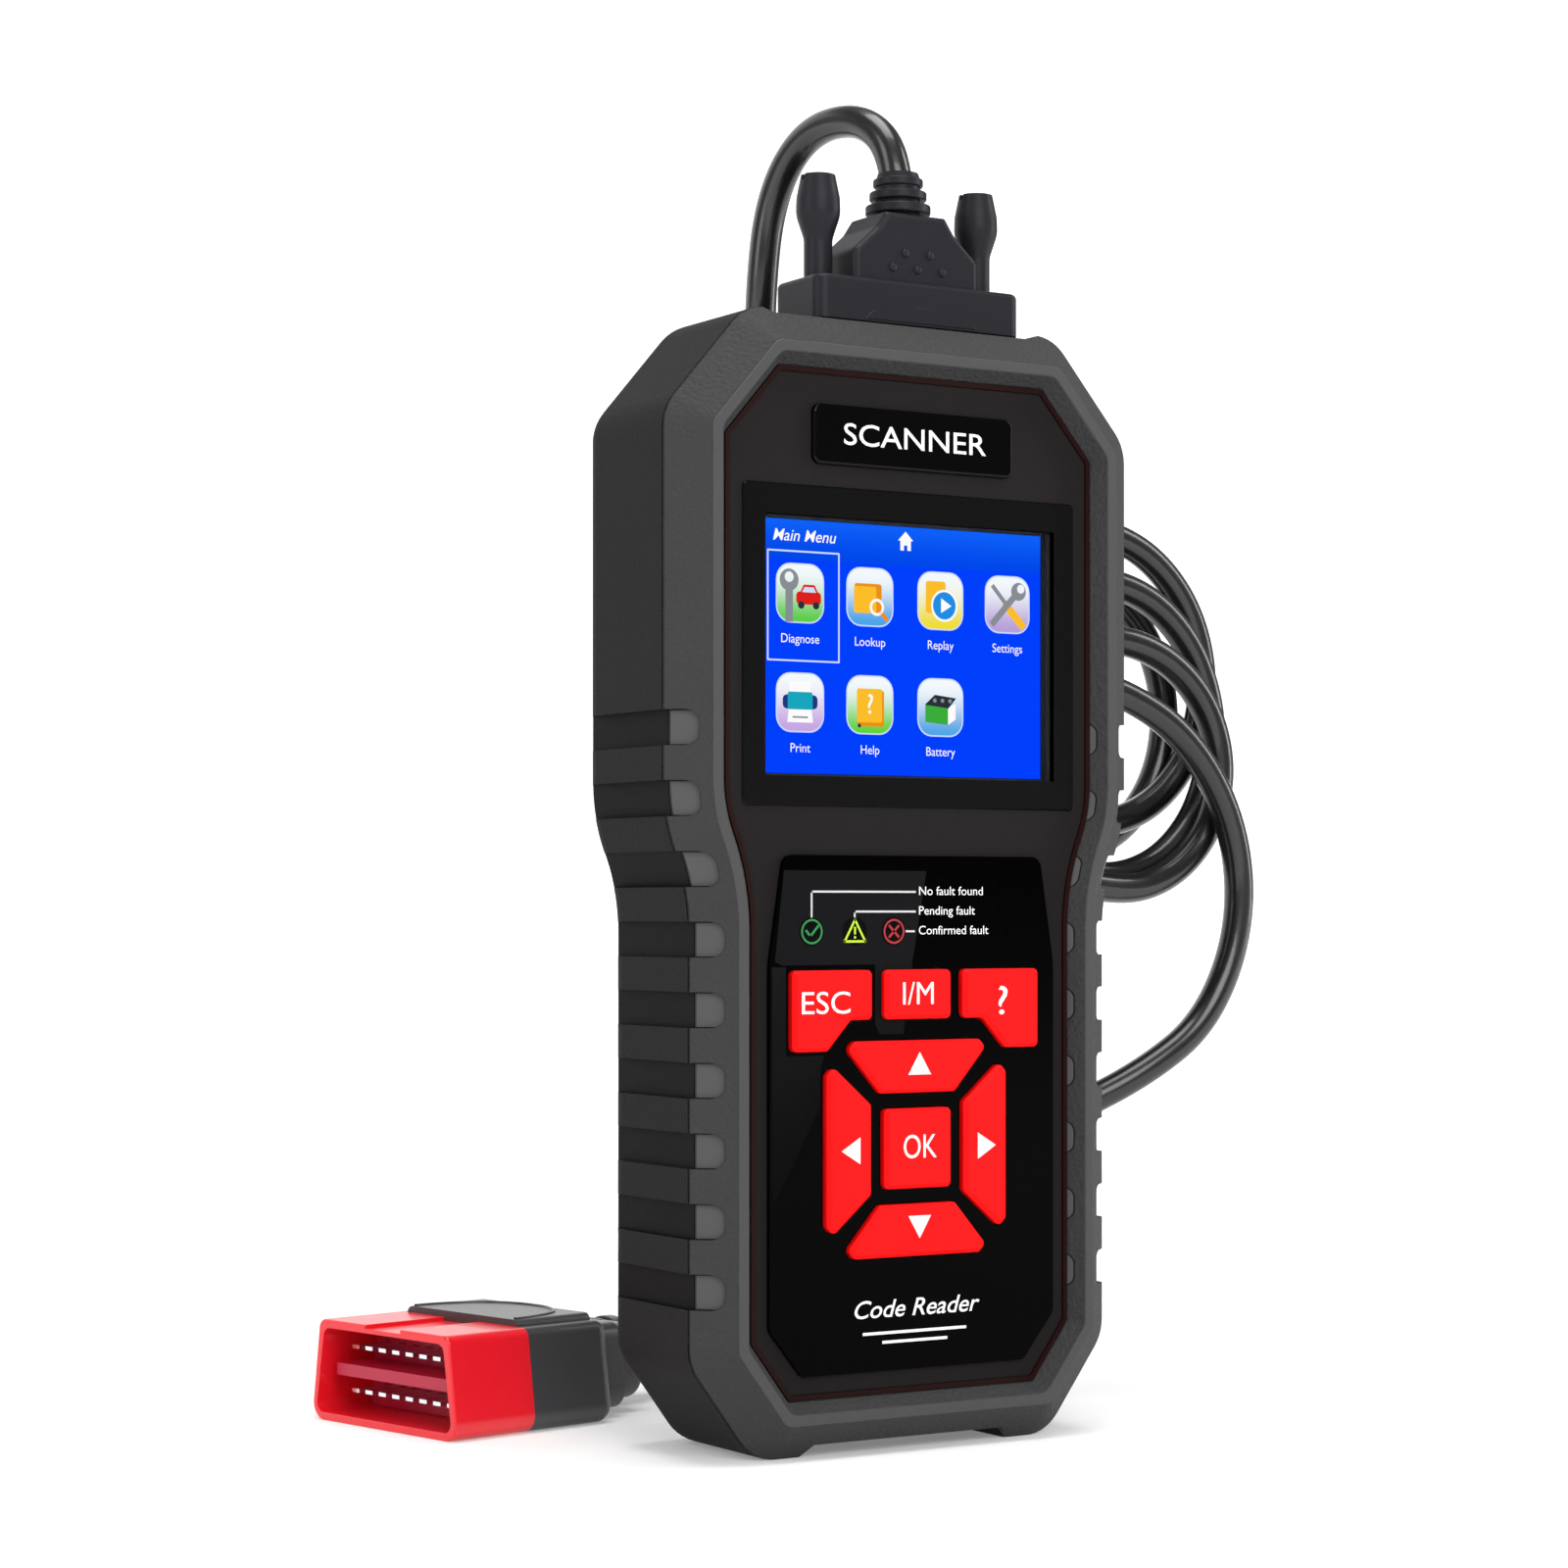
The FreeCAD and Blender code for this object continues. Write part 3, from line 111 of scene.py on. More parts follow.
# %% Shader words
class Field:
    def __init__(self, tree, socket):
        self.tree = tree
        self.socket = socket

    def node(self, kind, values, output=0, **settings):
        made = self.tree.nodes.new("ShaderNode" + kind)
        for word, setting in settings.items():
            setattr(made, word, setting)
        for key, value in values.items():
            plug(self.tree, made.inputs[key], value)
        return Field(self.tree, made.outputs[output])

    def math(self, operation, *values):
        return self.node("Math", dict(enumerate(values)), operation=operation)

    def __add__(self, other):
        return self.math("ADD", self, other)

    def __radd__(self, other):
        return self.math("ADD", other, self)

    def __sub__(self, other):
        return self.math("SUBTRACT", self, other)

    def __rsub__(self, other):
        return self.math("SUBTRACT", other, self)

    def __mul__(self, other):
        return self.math("MULTIPLY", self, other)

    def __rmul__(self, other):
        return self.math("MULTIPLY", other, self)

    def __truediv__(self, other):
        return self.math("DIVIDE", self, other)

    def part(self, axis):
        return self.node("SeparateXYZ", {0: self}, "XYZ".index(axis))

    def noise(self, size, detail=2.0):
        return self.node("TexNoise", {"Vector": self, "Scale": 1 / size, "Detail": detail})

    def step(self, low, high):
        """0 below low, 1 above high, smooth between."""
        return self.node("MapRange", {"Value": self, "From Min": low, "From Max": high},
                         interpolation_type="SMOOTHSTEP")

    def band(self, low, high, soft):
        return self.step(low - soft, low + soft) * (1 - self.step(high - soft, high + soft))

    def mix(self, first, second):
        """The colour that goes from first to second as this number goes from 0 to 1."""
        return self.node("Mix", {0: self, 6: first, 7: second}, 2, data_type="RGBA")


def plug(tree, socket, value):
    if isinstance(value, Field):
        tree.links.new(value.socket, socket)
    elif isinstance(value, tuple) and len(value) == 3 and len(socket.default_value) == 4:
        socket.default_value = (*value, 1)
    else:
        socket.default_value = value


def ink(text):
    """A hex colour as linear light."""
    parts = [int(text[i:i + 2], 16) / 255 for i in (1, 3, 5)]
    return tuple(((v + 0.055) / 1.055) ** 2.4 if v > 0.04 else v / 12.92 for v in parts)


def shade(colour, factor):
    return tuple(min(1, v * factor) for v in colour)


# %% [markdown]
# Moulded plastic is never one flat tone: its colour drifts slightly, and the mould's texture breaks
# up every highlight. A plain Principled shader would look like a toy. `finish` gives each material
# a slow drift of colour, a fine variation of roughness, and grain as a bump. `paint` is a function
# that may change the colour, roughness and height before they are plugged in.

# %% Finish builder
def finish(name, colour, rough, grain=0.0004, depth=0.00002, mottle=0.08, paint=None, **constants):
    made = bpy.data.materials.new(name)
    made.use_nodes = True
    tree = made.node_tree
    surface = tree.nodes["Principled BSDF"]
    where = Field(tree, tree.nodes.new("ShaderNodeTexCoord").outputs["Object"])
    fine = where.noise(grain, 3)
    tint = where.noise(0.02).mix(shade(colour, 1 - mottle), shade(colour, 1 + mottle))
    roughness = rough + (fine - 0.5) * 0.12
    height = fine * depth
    if paint:
        tint, roughness, height = paint(where, tint, roughness, height)
    plug(tree, surface.inputs["Base Color"], tint)
    plug(tree, surface.inputs["Roughness"], roughness)
    bump = tree.nodes.new("ShaderNodeBump")
    bump.inputs["Distance"].default_value = 1.0
    bump.inputs["Strength"].default_value = 1.0
    plug(tree, bump.inputs["Height"], height)
    tree.links.new(bump.outputs["Normal"], surface.inputs["Normal"])
    for word, value in constants.items():
        plug(tree, surface.inputs[word.replace("_", " ").title().replace("Ior", "IOR")], value)
    return made


def flat_finish(name, colour, rough=0.4, glow=0.0):
    """Printed ink, or a lit display colour when glow is above 0."""
    if glow:
        return finish(name, (0.0, 0.0, 0.0), rough, 0.0003, 0.0, 0.02, specular_ior_level=0.0,
                      emission_color=colour, emission_strength=glow)
    return finish(name, colour, rough, 0.0003, 0.000003, 0.02)


# %% [markdown]
# ## Finishes of the housing
# The rear shell is fine-grained charcoal whose grip grooves are smooth; their near-black is painted
# shade standing in for the shadow in the recesses. The front frame is a lighter grey with coarser
# grain on its bevel, smooth pads where the grooves reach it, and a smooth rim; the lighter grey of the
# pads and the rim is painted light, and the dark bands at the pads' walls and the seam are painted
# shadow. Separate materials on chosen faces would need the CAD mesh to be cut up. Masks worked
# out from Object coordinates need no cutting: a groove repeats with height, so the remainder of the
# height divided by the grooves' spacing tells where each one is, and the rounded end of a pad is the
# distance from a rounded rectangle.

# %% Housing finishes
GROOVE_LOW, GROOVE_PITCH, GROOVE_TALL, GROOVES = 26.3 * MM, 11.8 * MM, 6.0 * MM, 9
GROOVE_ON_BEVEL, GROOVE_ROUND = 4.4 * MM, 2.0 * MM
RIM_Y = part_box("front_frame")[0].y
SEAM_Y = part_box("front_frame")[1].y


def in_grooves(where):
    """The height above the nearest groove's lower edge, and 1 from the lowest groove to the highest."""
    z = where.part("Z")
    turn = (z - GROOVE_LOW) / GROOVE_PITCH
    along = (turn - turn.math("FLOOR", turn)) * GROOVE_PITCH
    last = GROOVE_LOW + GROOVE_PITCH * GROOVES - 1 * MM
    return along, z.band(GROOVE_LOW - 0.1 * MM, last, 0.1 * MM)


def seam_shade(y):
    """Painted shade: a dark line where the shell and the frame meet, standing in for the shadow in the gap."""
    return y.band(SEAM_Y - 0.3 * MM, SEAM_Y + 0.35 * MM, 0.06 * MM)


def shell_paint(where, tint, roughness, height):
    side = where.part("X").math("ABSOLUTE", where.part("X")).step(35 * MM, 37 * MM)
    along, present = in_grooves(where)
    # Painted shade: the grooves' near-black stands in for the shadow in the recesses; only their lower
    # roughness and missing grain are the plastic's own.
    groove_smooth_and_shaded = along.band(-1 * MM, GROOVE_TALL, 0.05 * MM) * present * side
    # The seam's dark line is painted shade as well, standing in for the shadow in the gap.
    dark = groove_smooth_and_shaded.math("MAXIMUM", groove_smooth_and_shaded, seam_shade(where.part("Y")) * 0.9)
    return (dark.mix(tint, ink("#040405")), roughness - groove_smooth_and_shaded * 0.1, height * (1 - groove_smooth_and_shaded * 0.9))


def frame_paint(where, tint, roughness, height):
    y = where.part("Y")
    along, present = in_grooves(where)
    middle = along - GROOVE_TALL / 2
    up = middle.math("ABSOLUTE", middle) - (GROOVE_TALL / 2 - GROOVE_ROUND)
    out = (SEAM_Y - y) - (GROOVE_ON_BEVEL - GROOVE_ROUND)
    up, out = up.math("MAXIMUM", up, 0.0), out.math("MAXIMUM", out, 0.0)
    reach = (up * up + out * out).math("SQRT", up * up + out * out) - GROOVE_ROUND
    # Painted light: the pads' lighter grey is a lit copy of the frame's grey; only their smoothness is the
    # plastic's own.
    pad_smooth_and_lit = (1 - reach.step(-0.22 * MM, -0.14 * MM)) * present
    # Painted shadow: a near-black band along each pad's edge, where the groove wall shades it.
    pad_wall_shadow = reach.band(-0.2 * MM, 0.05 * MM, 0.04 * MM) * present
    # Painted light: the rim's lighter grey is a lit copy of the frame's grey; only its smoothness is the
    # plastic's own.
    rim_smooth_and_lit = 1 - y.step(RIM_Y + 0.12 * MM, RIM_Y + 0.3 * MM)
    coarse = where.noise(0.0008, 2) * 0.00034
    smooth = (pad_smooth_and_lit + rim_smooth_and_lit).math("MINIMUM", pad_smooth_and_lit + rim_smooth_and_lit, 1.0)
    colour = rim_smooth_and_lit.mix(pad_smooth_and_lit.mix(tint, ink("#4c4c4d")), ink("#444445"))
    colour = pad_wall_shadow.math("MAXIMUM", pad_wall_shadow, seam_shade(y)).mix(colour, ink("#0a0a0b"))
    return (colour, roughness - smooth * 0.18, (height + coarse) * (1 - smooth * 0.9))


case_black = finish("case_black", ink("#1f1f20"), 0.72, 0.0005, 0.00014, paint=shell_paint,
                    specular_ior_level=0.1)
frame_grey = finish("frame_grey", ink("#323233"), 0.66, 0.0006, 0.00009, paint=frame_paint,
                    specular_ior_level=0.25)
trim_red = finish("trim_red", ink("#1e0706"), 0.6, specular_ior_level=0.1)
panel_black = finish("panel_black", ink("#1a1617"), 0.8, 0.0003, 0.00002, specular_ior_level=0.15)
print("housing finishes")

# %% [markdown]
# ## Finishes of the small parts
# The badge and keypad sheet are gloss black, the keys satin silicone, the plugs and cord PVC, and
# the diagnostic plug red moulding; inside are plain metals, foam and a green board. Most need only a
# colour, a roughness and a grain. Blacks get a low specular level, because large soft lights would
# otherwise lift them to grey. Three have a pattern: the board's tracks, the strap's weave and the
# blank label's rules.

# %% Small part finishes
def board_paint(where, tint, roughness, height):
    """Copper tracks under green resist."""
    track = where.node("TexBrick", {"Vector": where.node("Mapping", {0: where, 2: (math.pi / 2, 0, 0)}),
                                    "Scale": 160.0, "Mortar Size": 0.03}, 1)
    return (track.mix(tint, ink("#2f7a45")), roughness, height + track * 0.00003)


def strap_paint(where, tint, roughness, height):
    weave = where.node("TexWave", {"Vector": where, "Scale": 400.0, "Distortion": 0.5}, 1)
    return (weave.mix(shade(ink("#141416"), 0.8), ink("#2a2a2e")), roughness, height + weave * 0.00015)


def label_paint(where, tint, roughness, height):
    """A thin frame line and three ruled lines; no lettering."""
    low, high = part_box("rear_label")
    x, z = where.part("X"), where.part("Z")
    across = x.math("ABSOLUTE", x).band(high.x - 2.2 * MM, high.x - 1.8 * MM, 0.05 * MM)
    up = (z - (low.z + high.z) / 2)
    edge = up.math("ABSOLUTE", up).band((high.z - low.z) / 2 - 2.2 * MM, (high.z - low.z) / 2 - 1.8 * MM,
                                        0.05 * MM)
    rows = up.math("ABSOLUTE", up).band(5.8 * MM, 6.2 * MM, 0.05 * MM) + up.band(
        -0.2 * MM, 0.2 * MM, 0.05 * MM)
    lines = (across + edge + rows).math("MINIMUM", across + edge + rows, 1.0)
    return (lines.mix(tint, ink("#3a3c40")), roughness, height)


gloss_black = finish("gloss_black", ink("#010101"), 0.16, 0.001, 0.000002, specular_ior_level=0.03)
badge_gloss = finish("badge_gloss", ink("#020202"), 0.12, 0.001, 0.000001, specular_ior_level=0.15)
key_red = finish("key_red", ink("#f80a0c"), 0.5, 0.0003, 0.00001, 0.03, specular_ior_level=0.12)
silicone_grey = finish("silicone_grey", ink("#7d7f82"), 0.6)
plug_black = finish("plug_black", ink("#201f24"), 0.42, 0.0005, 0.000015, specular_ior_level=0.14)
cord_black = finish("cord_black", ink("#0e0e0f"), 0.3, 0.0008, 0.00001, 0.05, coat_weight=0.3)
tie_black = finish("tie_black", ink("#1a1a1c"), 0.8, paint=strap_paint)
obd_red = finish("obd_red", ink("#e41424"), 0.34, 0.0006, 0.00001, 0.03, coat_weight=0.2)
obd_core = finish("obd_core", ink("#b40e38"), 0.4, 0.0006, 0.00001, 0.03)
obd_black = finish("obd_black", ink("#3a393b"), 0.36, 0.0006, 0.00003)
steel = finish("plain_steel", ink("#a9adb2"), 0.32, 0.0003, 0.000004, 0.05, metallic=1.0)
bright = finish("contact_silver", ink("#e8eaee"), 0.2, 0.0004, 0.000003, 0.03, metallic=1.0)
gold = finish("contact_gold", ink("#d8b25a"), 0.25, 0.0004, 0.000003, 0.03, metallic=1.0)
insulator = finish("insulator_black", ink("#151517"), 0.5)
foam = finish("foam_black", ink("#101011"), 0.95, 0.0006, 0.0001)
amber = finish("flex_amber", ink("#b8691c"), 0.35)
board = finish("board_green", ink("#0f4a25"), 0.4, paint=board_paint, coat_weight=0.4)
chips = finish("chip_black", ink("#17181a"), 0.45)
diffuser = finish("light_white", ink("#e9ecec"), 0.5)
label_silver = finish("label_silver", ink("#b9bcc0"), 0.4, paint=label_paint, metallic=0.3)
lens_dark = finish("lens_dark", ink("#050506"), 0.15, 0.001, 0.000001, specular_ior_level=0.1)
print("small part finishes")

# %% [markdown]
# The display is a lit panel some 2 mm behind a gloss black window with a clear middle. An emissive
# picture on the window's own face would look pasted on and would not shift as the view turns. So the
# panel glows, and the window is one solid whose Mix Shader fades from black to clear glass just
# outside the picture's edge.

# %% Display finishes
SCREEN_LOW = (-28.8 * MM, 116.5 * MM)
SCREEN_HIGH = (28.8 * MM, 159.7 * MM)
CLEAR_SIDE, CLEAR_END = 1.2 * MM, 0.5 * MM


def lit_screen():
    made = finish("screen_blue", (0.0, 0.0, 0.0), 0.4, 0.001, 0.0, 0.02, emission_strength=1.0,
                  specular_ior_level=0.0)
    tree = made.node_tree
    where = Field(tree, tree.nodes.new("ShaderNodeTexCoord").outputs["Object"])
    z = where.part("Z")
    header = z.step(SCREEN_HIGH[1] - 6.9 * MM, SCREEN_HIGH[1] - 6.6 * MM)
    ramp = z.step(SCREEN_HIGH[1] - 7 * MM, SCREEN_HIGH[1] + 3 * MM)
    inside = where.part("X").band(SCREEN_LOW[0], SCREEN_HIGH[0], 0.05 * MM) * z.band(
        SCREEN_LOW[1], SCREEN_HIGH[1], 0.05 * MM)
    glow = header.mix(ink("#0040ff"), ramp.mix(ink("#0048ee"), ink("#1268ff")))
    plug(tree, tree.nodes["Principled BSDF"].inputs["Emission Color"], inside.mix((0, 0, 0), glow))
    return made


def clear_window():
    made = finish("window_clear", ink("#0d0d0e"), 0.2, 0.001, 0.000001, specular_ior_level=0.12)
    tree = made.node_tree
    where = Field(tree, tree.nodes.new("ShaderNodeTexCoord").outputs["Object"])
    inside = where.part("X").band(SCREEN_LOW[0] - CLEAR_SIDE, SCREEN_HIGH[0] + CLEAR_SIDE, 0.08 * MM) \
        * where.part("Z").band(SCREEN_LOW[1] - CLEAR_END, SCREEN_HIGH[1] + CLEAR_END, 0.08 * MM)
    clear = tree.nodes.new("ShaderNodeBsdfTransparent")
    both = tree.nodes.new("ShaderNodeMixShader")
    plug(tree, both.inputs["Fac"], inside * 0.985)
    tree.links.new(tree.nodes["Principled BSDF"].outputs[0], both.inputs[1])
    tree.links.new(clear.outputs[0], both.inputs[2])
    tree.links.new(both.outputs[0], tree.nodes["Material Output"].inputs["Surface"])
    return made


screen_blue = lit_screen()
window_clear = clear_window()

# %% [markdown]
# ## Dressing the CAD nodes
# Each CAD node is one piece of one material on the real object, so a table from finish to node names
# is all that is needed. The last line prints any node that was forgotten; the cord's three nodes are
# left out because a smooth line replaces them in the next cell.

# %% Assign finishes
WEAR = {
    case_black: "rear_shell",
    frame_grey: "front_frame",
    trim_red: "trim_ring",
    panel_black: "face_panel",
    gloss_black: "keypad_overlay",
    badge_gloss: "name_badge",
    window_clear: "display_window",
    foam: "display_gasket",
    steel: "case_screws board_screws dome_switches device_port_shell plug_shell port_standoffs"
           " usb_socket",
    screen_blue: "lcd_panel",
    diffuser: "lcd_backlight indicator_leds",
    amber: "lcd_flex",
    key_red: "key_esc key_im key_help key_up key_left key_ok key_right key_down",
    silicone_grey: "keypad_mat",
    lens_dark: "indicator_green indicator_amber indicator_red",
    board: "main_board",
    chips: "board_chips buzzer",
    insulator: "lcd_frame device_port_insulator plug_insulator board_posts",
    gold: "device_port_pins plug_contacts",
    plug_black: "plug_hood plug_strain_relief thumbscrew_left thumbscrew_right",
    label_silver: "rear_label",
    obd_red: "obd_shell",
    obd_core: "obd_pin_block",
    bright: "obd_pins",
    obd_black: "obd_hood obd_strain_relief",
    tie_black: "coil_tie",
}
for made, words in WEAR.items():
    for word in words.split():
        nodes[word].data.materials.clear()
        nodes[word].data.materials.append(made)
left = [word for word in nodes if not word.startswith("cord_")
        and word not in " ".join(WEAR.values()).split()]
print("nodes without a finish:", left)

# %% [markdown]
# ## The cord
# A rubber cord about a metre long leaves the top plug, drops behind the case, makes three and a half
# loose turns and ends in the diagnostic plug. A chain of arcs and straight runs would look like bent
# wire, and a physics simulation would give a different lay each time. One NURBS line with a round
# bevel bends evenly everywhere, because it only passes near its points. The turns differ in size and
# fan out downwards, each nearer to the viewer than the last, as a hand-wound coil does.

# %% Cord
TOP_RUN = [
    (4.0, -3.8, 215.2), (4.0, -3.8, 226.0), (2.4, 5.1, 234.6), (-0.2, 19.9, 234.6), (-2.0, 29.5, 224.0),
    (-2.6, 32.2, 205.0), (0.5, 37.0, 186.0), (14.0, 43.0, 170.0), (34.0, 46.8, 163.0), (56.0, 48.0, 162.0)]
LEAD = [
    (47.0, 25.6, 102.5), (37.5, 25.0, 115.5), (39.5, 24.2, 131.5), (53.5, 23.4, 138.0),
    (71.0, 22.4, 136.5), (88.5, 21.4, 127.5), (100.2, 21.2, 110.2), (102.0, 21.2, 90.0), (93.5, 21.4, 71.5),
    (78.5, 22.4, 61.5), (61.5, 27.0, 53.5), (48.5, 40.0, 38.0), (38.0, 55.0, 15.0), (24.0, 67.0, 6.4),
    (8.0, 69.0, 9.4), (-7.0, 66.3, 9.4)]
# Each turn: centre X, centre Z, half width, half height, and Y at its top.
TURNS = [(75.0, 133.0, 27.0, 28.0, 47.6), (78.6, 139.5, 28.4, 29.0, 41.6), (77.0, 128.8, 27.6, 29.0, 35.6),
         (75.4, 121.6, 26.4, 24.4, 29.6), (72.0, 115.0, 30.0, 26.0, 23.6)]
STEPS = 12


def turn_points(count):
    """Points clockwise round the turns; the left half of each drifts into the next one's size."""
    points = []
    for number in range(count):
        turn, step = divmod(number, STEPS)
        share = step / STEPS
        drift = min(1, max(0, (share - 0.55) / 0.45))
        drift = drift * drift * (3 - 2 * drift)
        x, z, wide, tall, y = [a + (b - a) * drift for a, b in zip(TURNS[turn], TURNS[turn + 1])]
        y = TURNS[turn][4] + (TURNS[turn + 1][4] - TURNS[turn][4]) * share
        angle = 2 * math.pi * share
        reach = 1 / 0.966
        points.append((x + wide * reach * math.sin(angle), y, z + tall * reach * math.cos(angle)))
    return points


route = TOP_RUN + turn_points(3 * STEPS + 7) + LEAD
line = bpy.data.curves.new("cord", "CURVE")
line.dimensions = "3D"
line.bevel_depth = 2.9 * MM
line.bevel_resolution = 6
line.resolution_u = 10
spline = line.splines.new("NURBS")
spline.points.add(len(route) - 1)
for point, (x, y, z) in zip(spline.points, route):
    point.co = (x * MM, y * MM, z * MM, 1)
spline.order_u = 3
spline.use_endpoint_u = True
spline.use_smooth = True
line.materials.append(cord_black)
cord = bpy.data.objects.new("cord", line)
bpy.context.scene.collection.objects.link(cord)
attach(cord, "case")
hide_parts("cord_top_run", "cord_coil", "cord_lead")
print(len(route), "points on the cord's route")

# %% [markdown]
# ## Printing
# Screen print is a layer of ink far thinner than a sheet of paper. It could be drawn in a shader,
# but lettering made from masks grows into hundreds of nodes. `Print` gathers flat shapes that face
# the viewer into one mesh, each level a hundredth of a millimetre above the one below, so that no two
# faces lie in the same plane. Points are millimetres across and up. Letters come from Blender's own
# font, turned into a mesh.

# %% Printing words
LEVEL_GAP = 0.012 * MM
WELD = 1e-8


def add_piece(name, mesh, finishes, body):
    """Show a mesh as a piece that rides on a body."""
    for made in finishes:
        mesh.materials.append(made)
    piece = bpy.data.objects.new(name, mesh)
    bpy.context.scene.collection.objects.link(piece)
    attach(piece, body)
    print(name, len(mesh.polygons), "faces")


class Print:
    def __init__(self, name, y):
        self.name = name
        self.y = y
        self.build = bmesh.new()
        self.finishes = []

    def slot(self, made):
        if made not in self.finishes:
            self.finishes.append(made)
        return self.finishes.index(made)

    def face(self, made, points, level=1):
        depth = self.y - level * LEVEL_GAP
        corners = [self.build.verts.new((x * MM, depth, z * MM)) for x, z in points]
        face = self.build.faces.new(corners)
        face.normal_update()
        if face.normal.y > 0:
            face.normal_flip()
        face.material_index = self.slot(made)

    def ring(self, made, outer, inner, level=1):
        for i in range(len(outer)):
            self.face(made, [outer[i - 1], outer[i], inner[i], inner[i - 1]], level)

    def stroke(self, made, points, wide, level=1):
        """Straight strokes through the points, each longer at both ends by half its width."""
        for (x, z), (x2, z2) in zip(points, points[1:]):
            long = math.hypot(x2 - x, z2 - z)
            ux, uz = (x2 - x) / long * wide / 2, (z2 - z) / long * wide / 2
            self.face(made, [(x - ux - uz, z - uz + ux), (x - ux + uz, z - uz - ux),
                             (x2 + ux + uz, z2 + uz - ux), (x2 + ux - uz, z2 + uz + ux)], level)

    def words(self, made, text, x, z, tall, level=1, align="CENTER", slant=0.0, thick=0.0, squeeze=1.0):
        letters = bpy.data.curves.new(self.name + "_letters", "FONT")
        letters.body = text
        letters.size = tall / 0.7
        letters.align_x = align
        letters.align_y = "CENTER"
        letters.shear = slant
        letters.offset = thick
        letters.resolution_u = 4
        holder = bpy.data.objects.new(letters.name, letters)
        mesh = bpy.data.meshes.new_from_object(holder)
        for polygon in mesh.polygons:
            corners = [mesh.vertices[i].co for i in polygon.vertices]
            self.face(made, [(x + c.x * squeeze, z + c.y) for c in corners], level)
        bpy.data.objects.remove(holder)
        bpy.data.meshes.remove(mesh)

    def done(self, body):
        mesh = bpy.data.meshes.new(self.name)
        bmesh.ops.remove_doubles(self.build, verts=self.build.verts, dist=WELD)
        self.build.to_mesh(mesh)
        self.build.free()
        add_piece(self.name, mesh, self.finishes, body)


def rounded(x, z, wide, tall, radius, steps=6):
    points = []
    for quarter in range(4):
        cx = x + (wide / 2 - radius) * (1 if quarter in (0, 3) else -1)
        cz = z + (tall / 2 - radius) * (1 if quarter < 2 else -1)
        for i in range(steps + 1):
            angle = math.pi / 2 * (quarter + i / steps)
            points.append((cx + radius * math.cos(angle), cz + radius * math.sin(angle)))
    return points


def disc(x, z, radius, count=40):
    return [(x + radius * math.cos(2 * math.pi * i / count), z + radius * math.sin(2 * math.pi * i / count))
            for i in range(count)]


# %% [markdown]
# ### Inks
# Ink on the sheet and keys is white, grey or a signal colour and reflects light; colours on the lit
# display give light of their own and reflect none. Both come from `flat_finish`. The pale patch on
# the sheet is a painted reflection: a grey tone laid where a highlight falls, fading towards the arrow keys.

# %% Inks
def painted_reflection_fade(where, tint, roughness, height):
    """The painted reflection fades out towards the arrow keys."""
    return (where.part("Z").step(44 * MM, 88 * MM).mix((0.0005, 0.0005, 0.0005), tint), roughness, height)


white_ink = flat_finish("white_ink", ink("#f2f2f2"), 0.45)
leader_ink = flat_finish("leader_ink", ink("#c9c9c9"), 0.45)
green_ink = flat_finish("green_ink", ink("#17803c"), 0.4)
lime_ink = flat_finish("lime_ink", ink("#b6d92a"), 0.4)
red_ink = flat_finish("red_ink", ink("#a31c20"), 0.4)
# A painted reflection: a flat grey tone that stands in for a highlight on the gloss sheet.
painted_reflection = finish("painted_reflection", ink("#121214"), 0.4, 0.0003, 0.000003, 0.02, painted_reflection_fade,
                   specular_ior_level=0.05)
LIT = {name: flat_finish("lit_" + name, ink(code), 0.5, 1.0) for name, code in {
    "white": "#ffffff", "pale": "#cfe0ff", "grey": "#8a8f96", "dark": "#2a3038", "red": "#e0201c",
    "yellow": "#ffc02a", "orange": "#f09018", "teal": "#18a8c0", "navy": "#1c3a80",
    "blue": "#1f8fe8", "leaf": "#3cae3c"}.items()}


def tile_finish(name, low_colour, z):
    """A lit tile that fades from white at its top to its own colour."""
    made = flat_finish("tile_" + name, ink(low_colour), 0.5, 1.0)
    tree = made.node_tree
    where = Field(tree, tree.nodes.new("ShaderNodeTexCoord").outputs["Object"])
    fade = where.part("Z").step((z - 4.8) * MM, (z + 4.2) * MM)
    plug(tree, tree.nodes["Principled BSDF"].inputs["Emission Color"],
         fade.mix(ink(low_colour), ink("#f6fbff")))
    return made


# %% [markdown]
# ### The menu on the display
# The display shows seven tiles in two rows under a header bar, with a frame round the chosen tile.
# A picture texture would be the usual way, but plain shapes stay sharp at any distance. Every tile is
# the same two rounded plates with a symbol of its own: spanner and car, folder and glass, page and
# play sign, crossed tools, printer, book, and battery.

# %% Menu
PICTURE_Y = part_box("lcd_panel")[0].y
ROWS_Z = (147.2, 128.6)
COLUMNS_X = (-21.6, -7.4, 7.3, 21.6)
TILES = [("Diagnose", 0, 0, "#5fd04a"), ("Lookup", 1, 0, "#4aa6ec"), ("Replay", 2, 0, "#f2e02c"),
         ("Settings", 3, 0, "#b9a2dc"), ("Print", 0, 1, "#c9a8e6"), ("Help", 1, 1, "#63d63c"),
         ("Battery", 2, 1, "#52a8ea")]
menu = Print("menu_picture", PICTURE_Y)


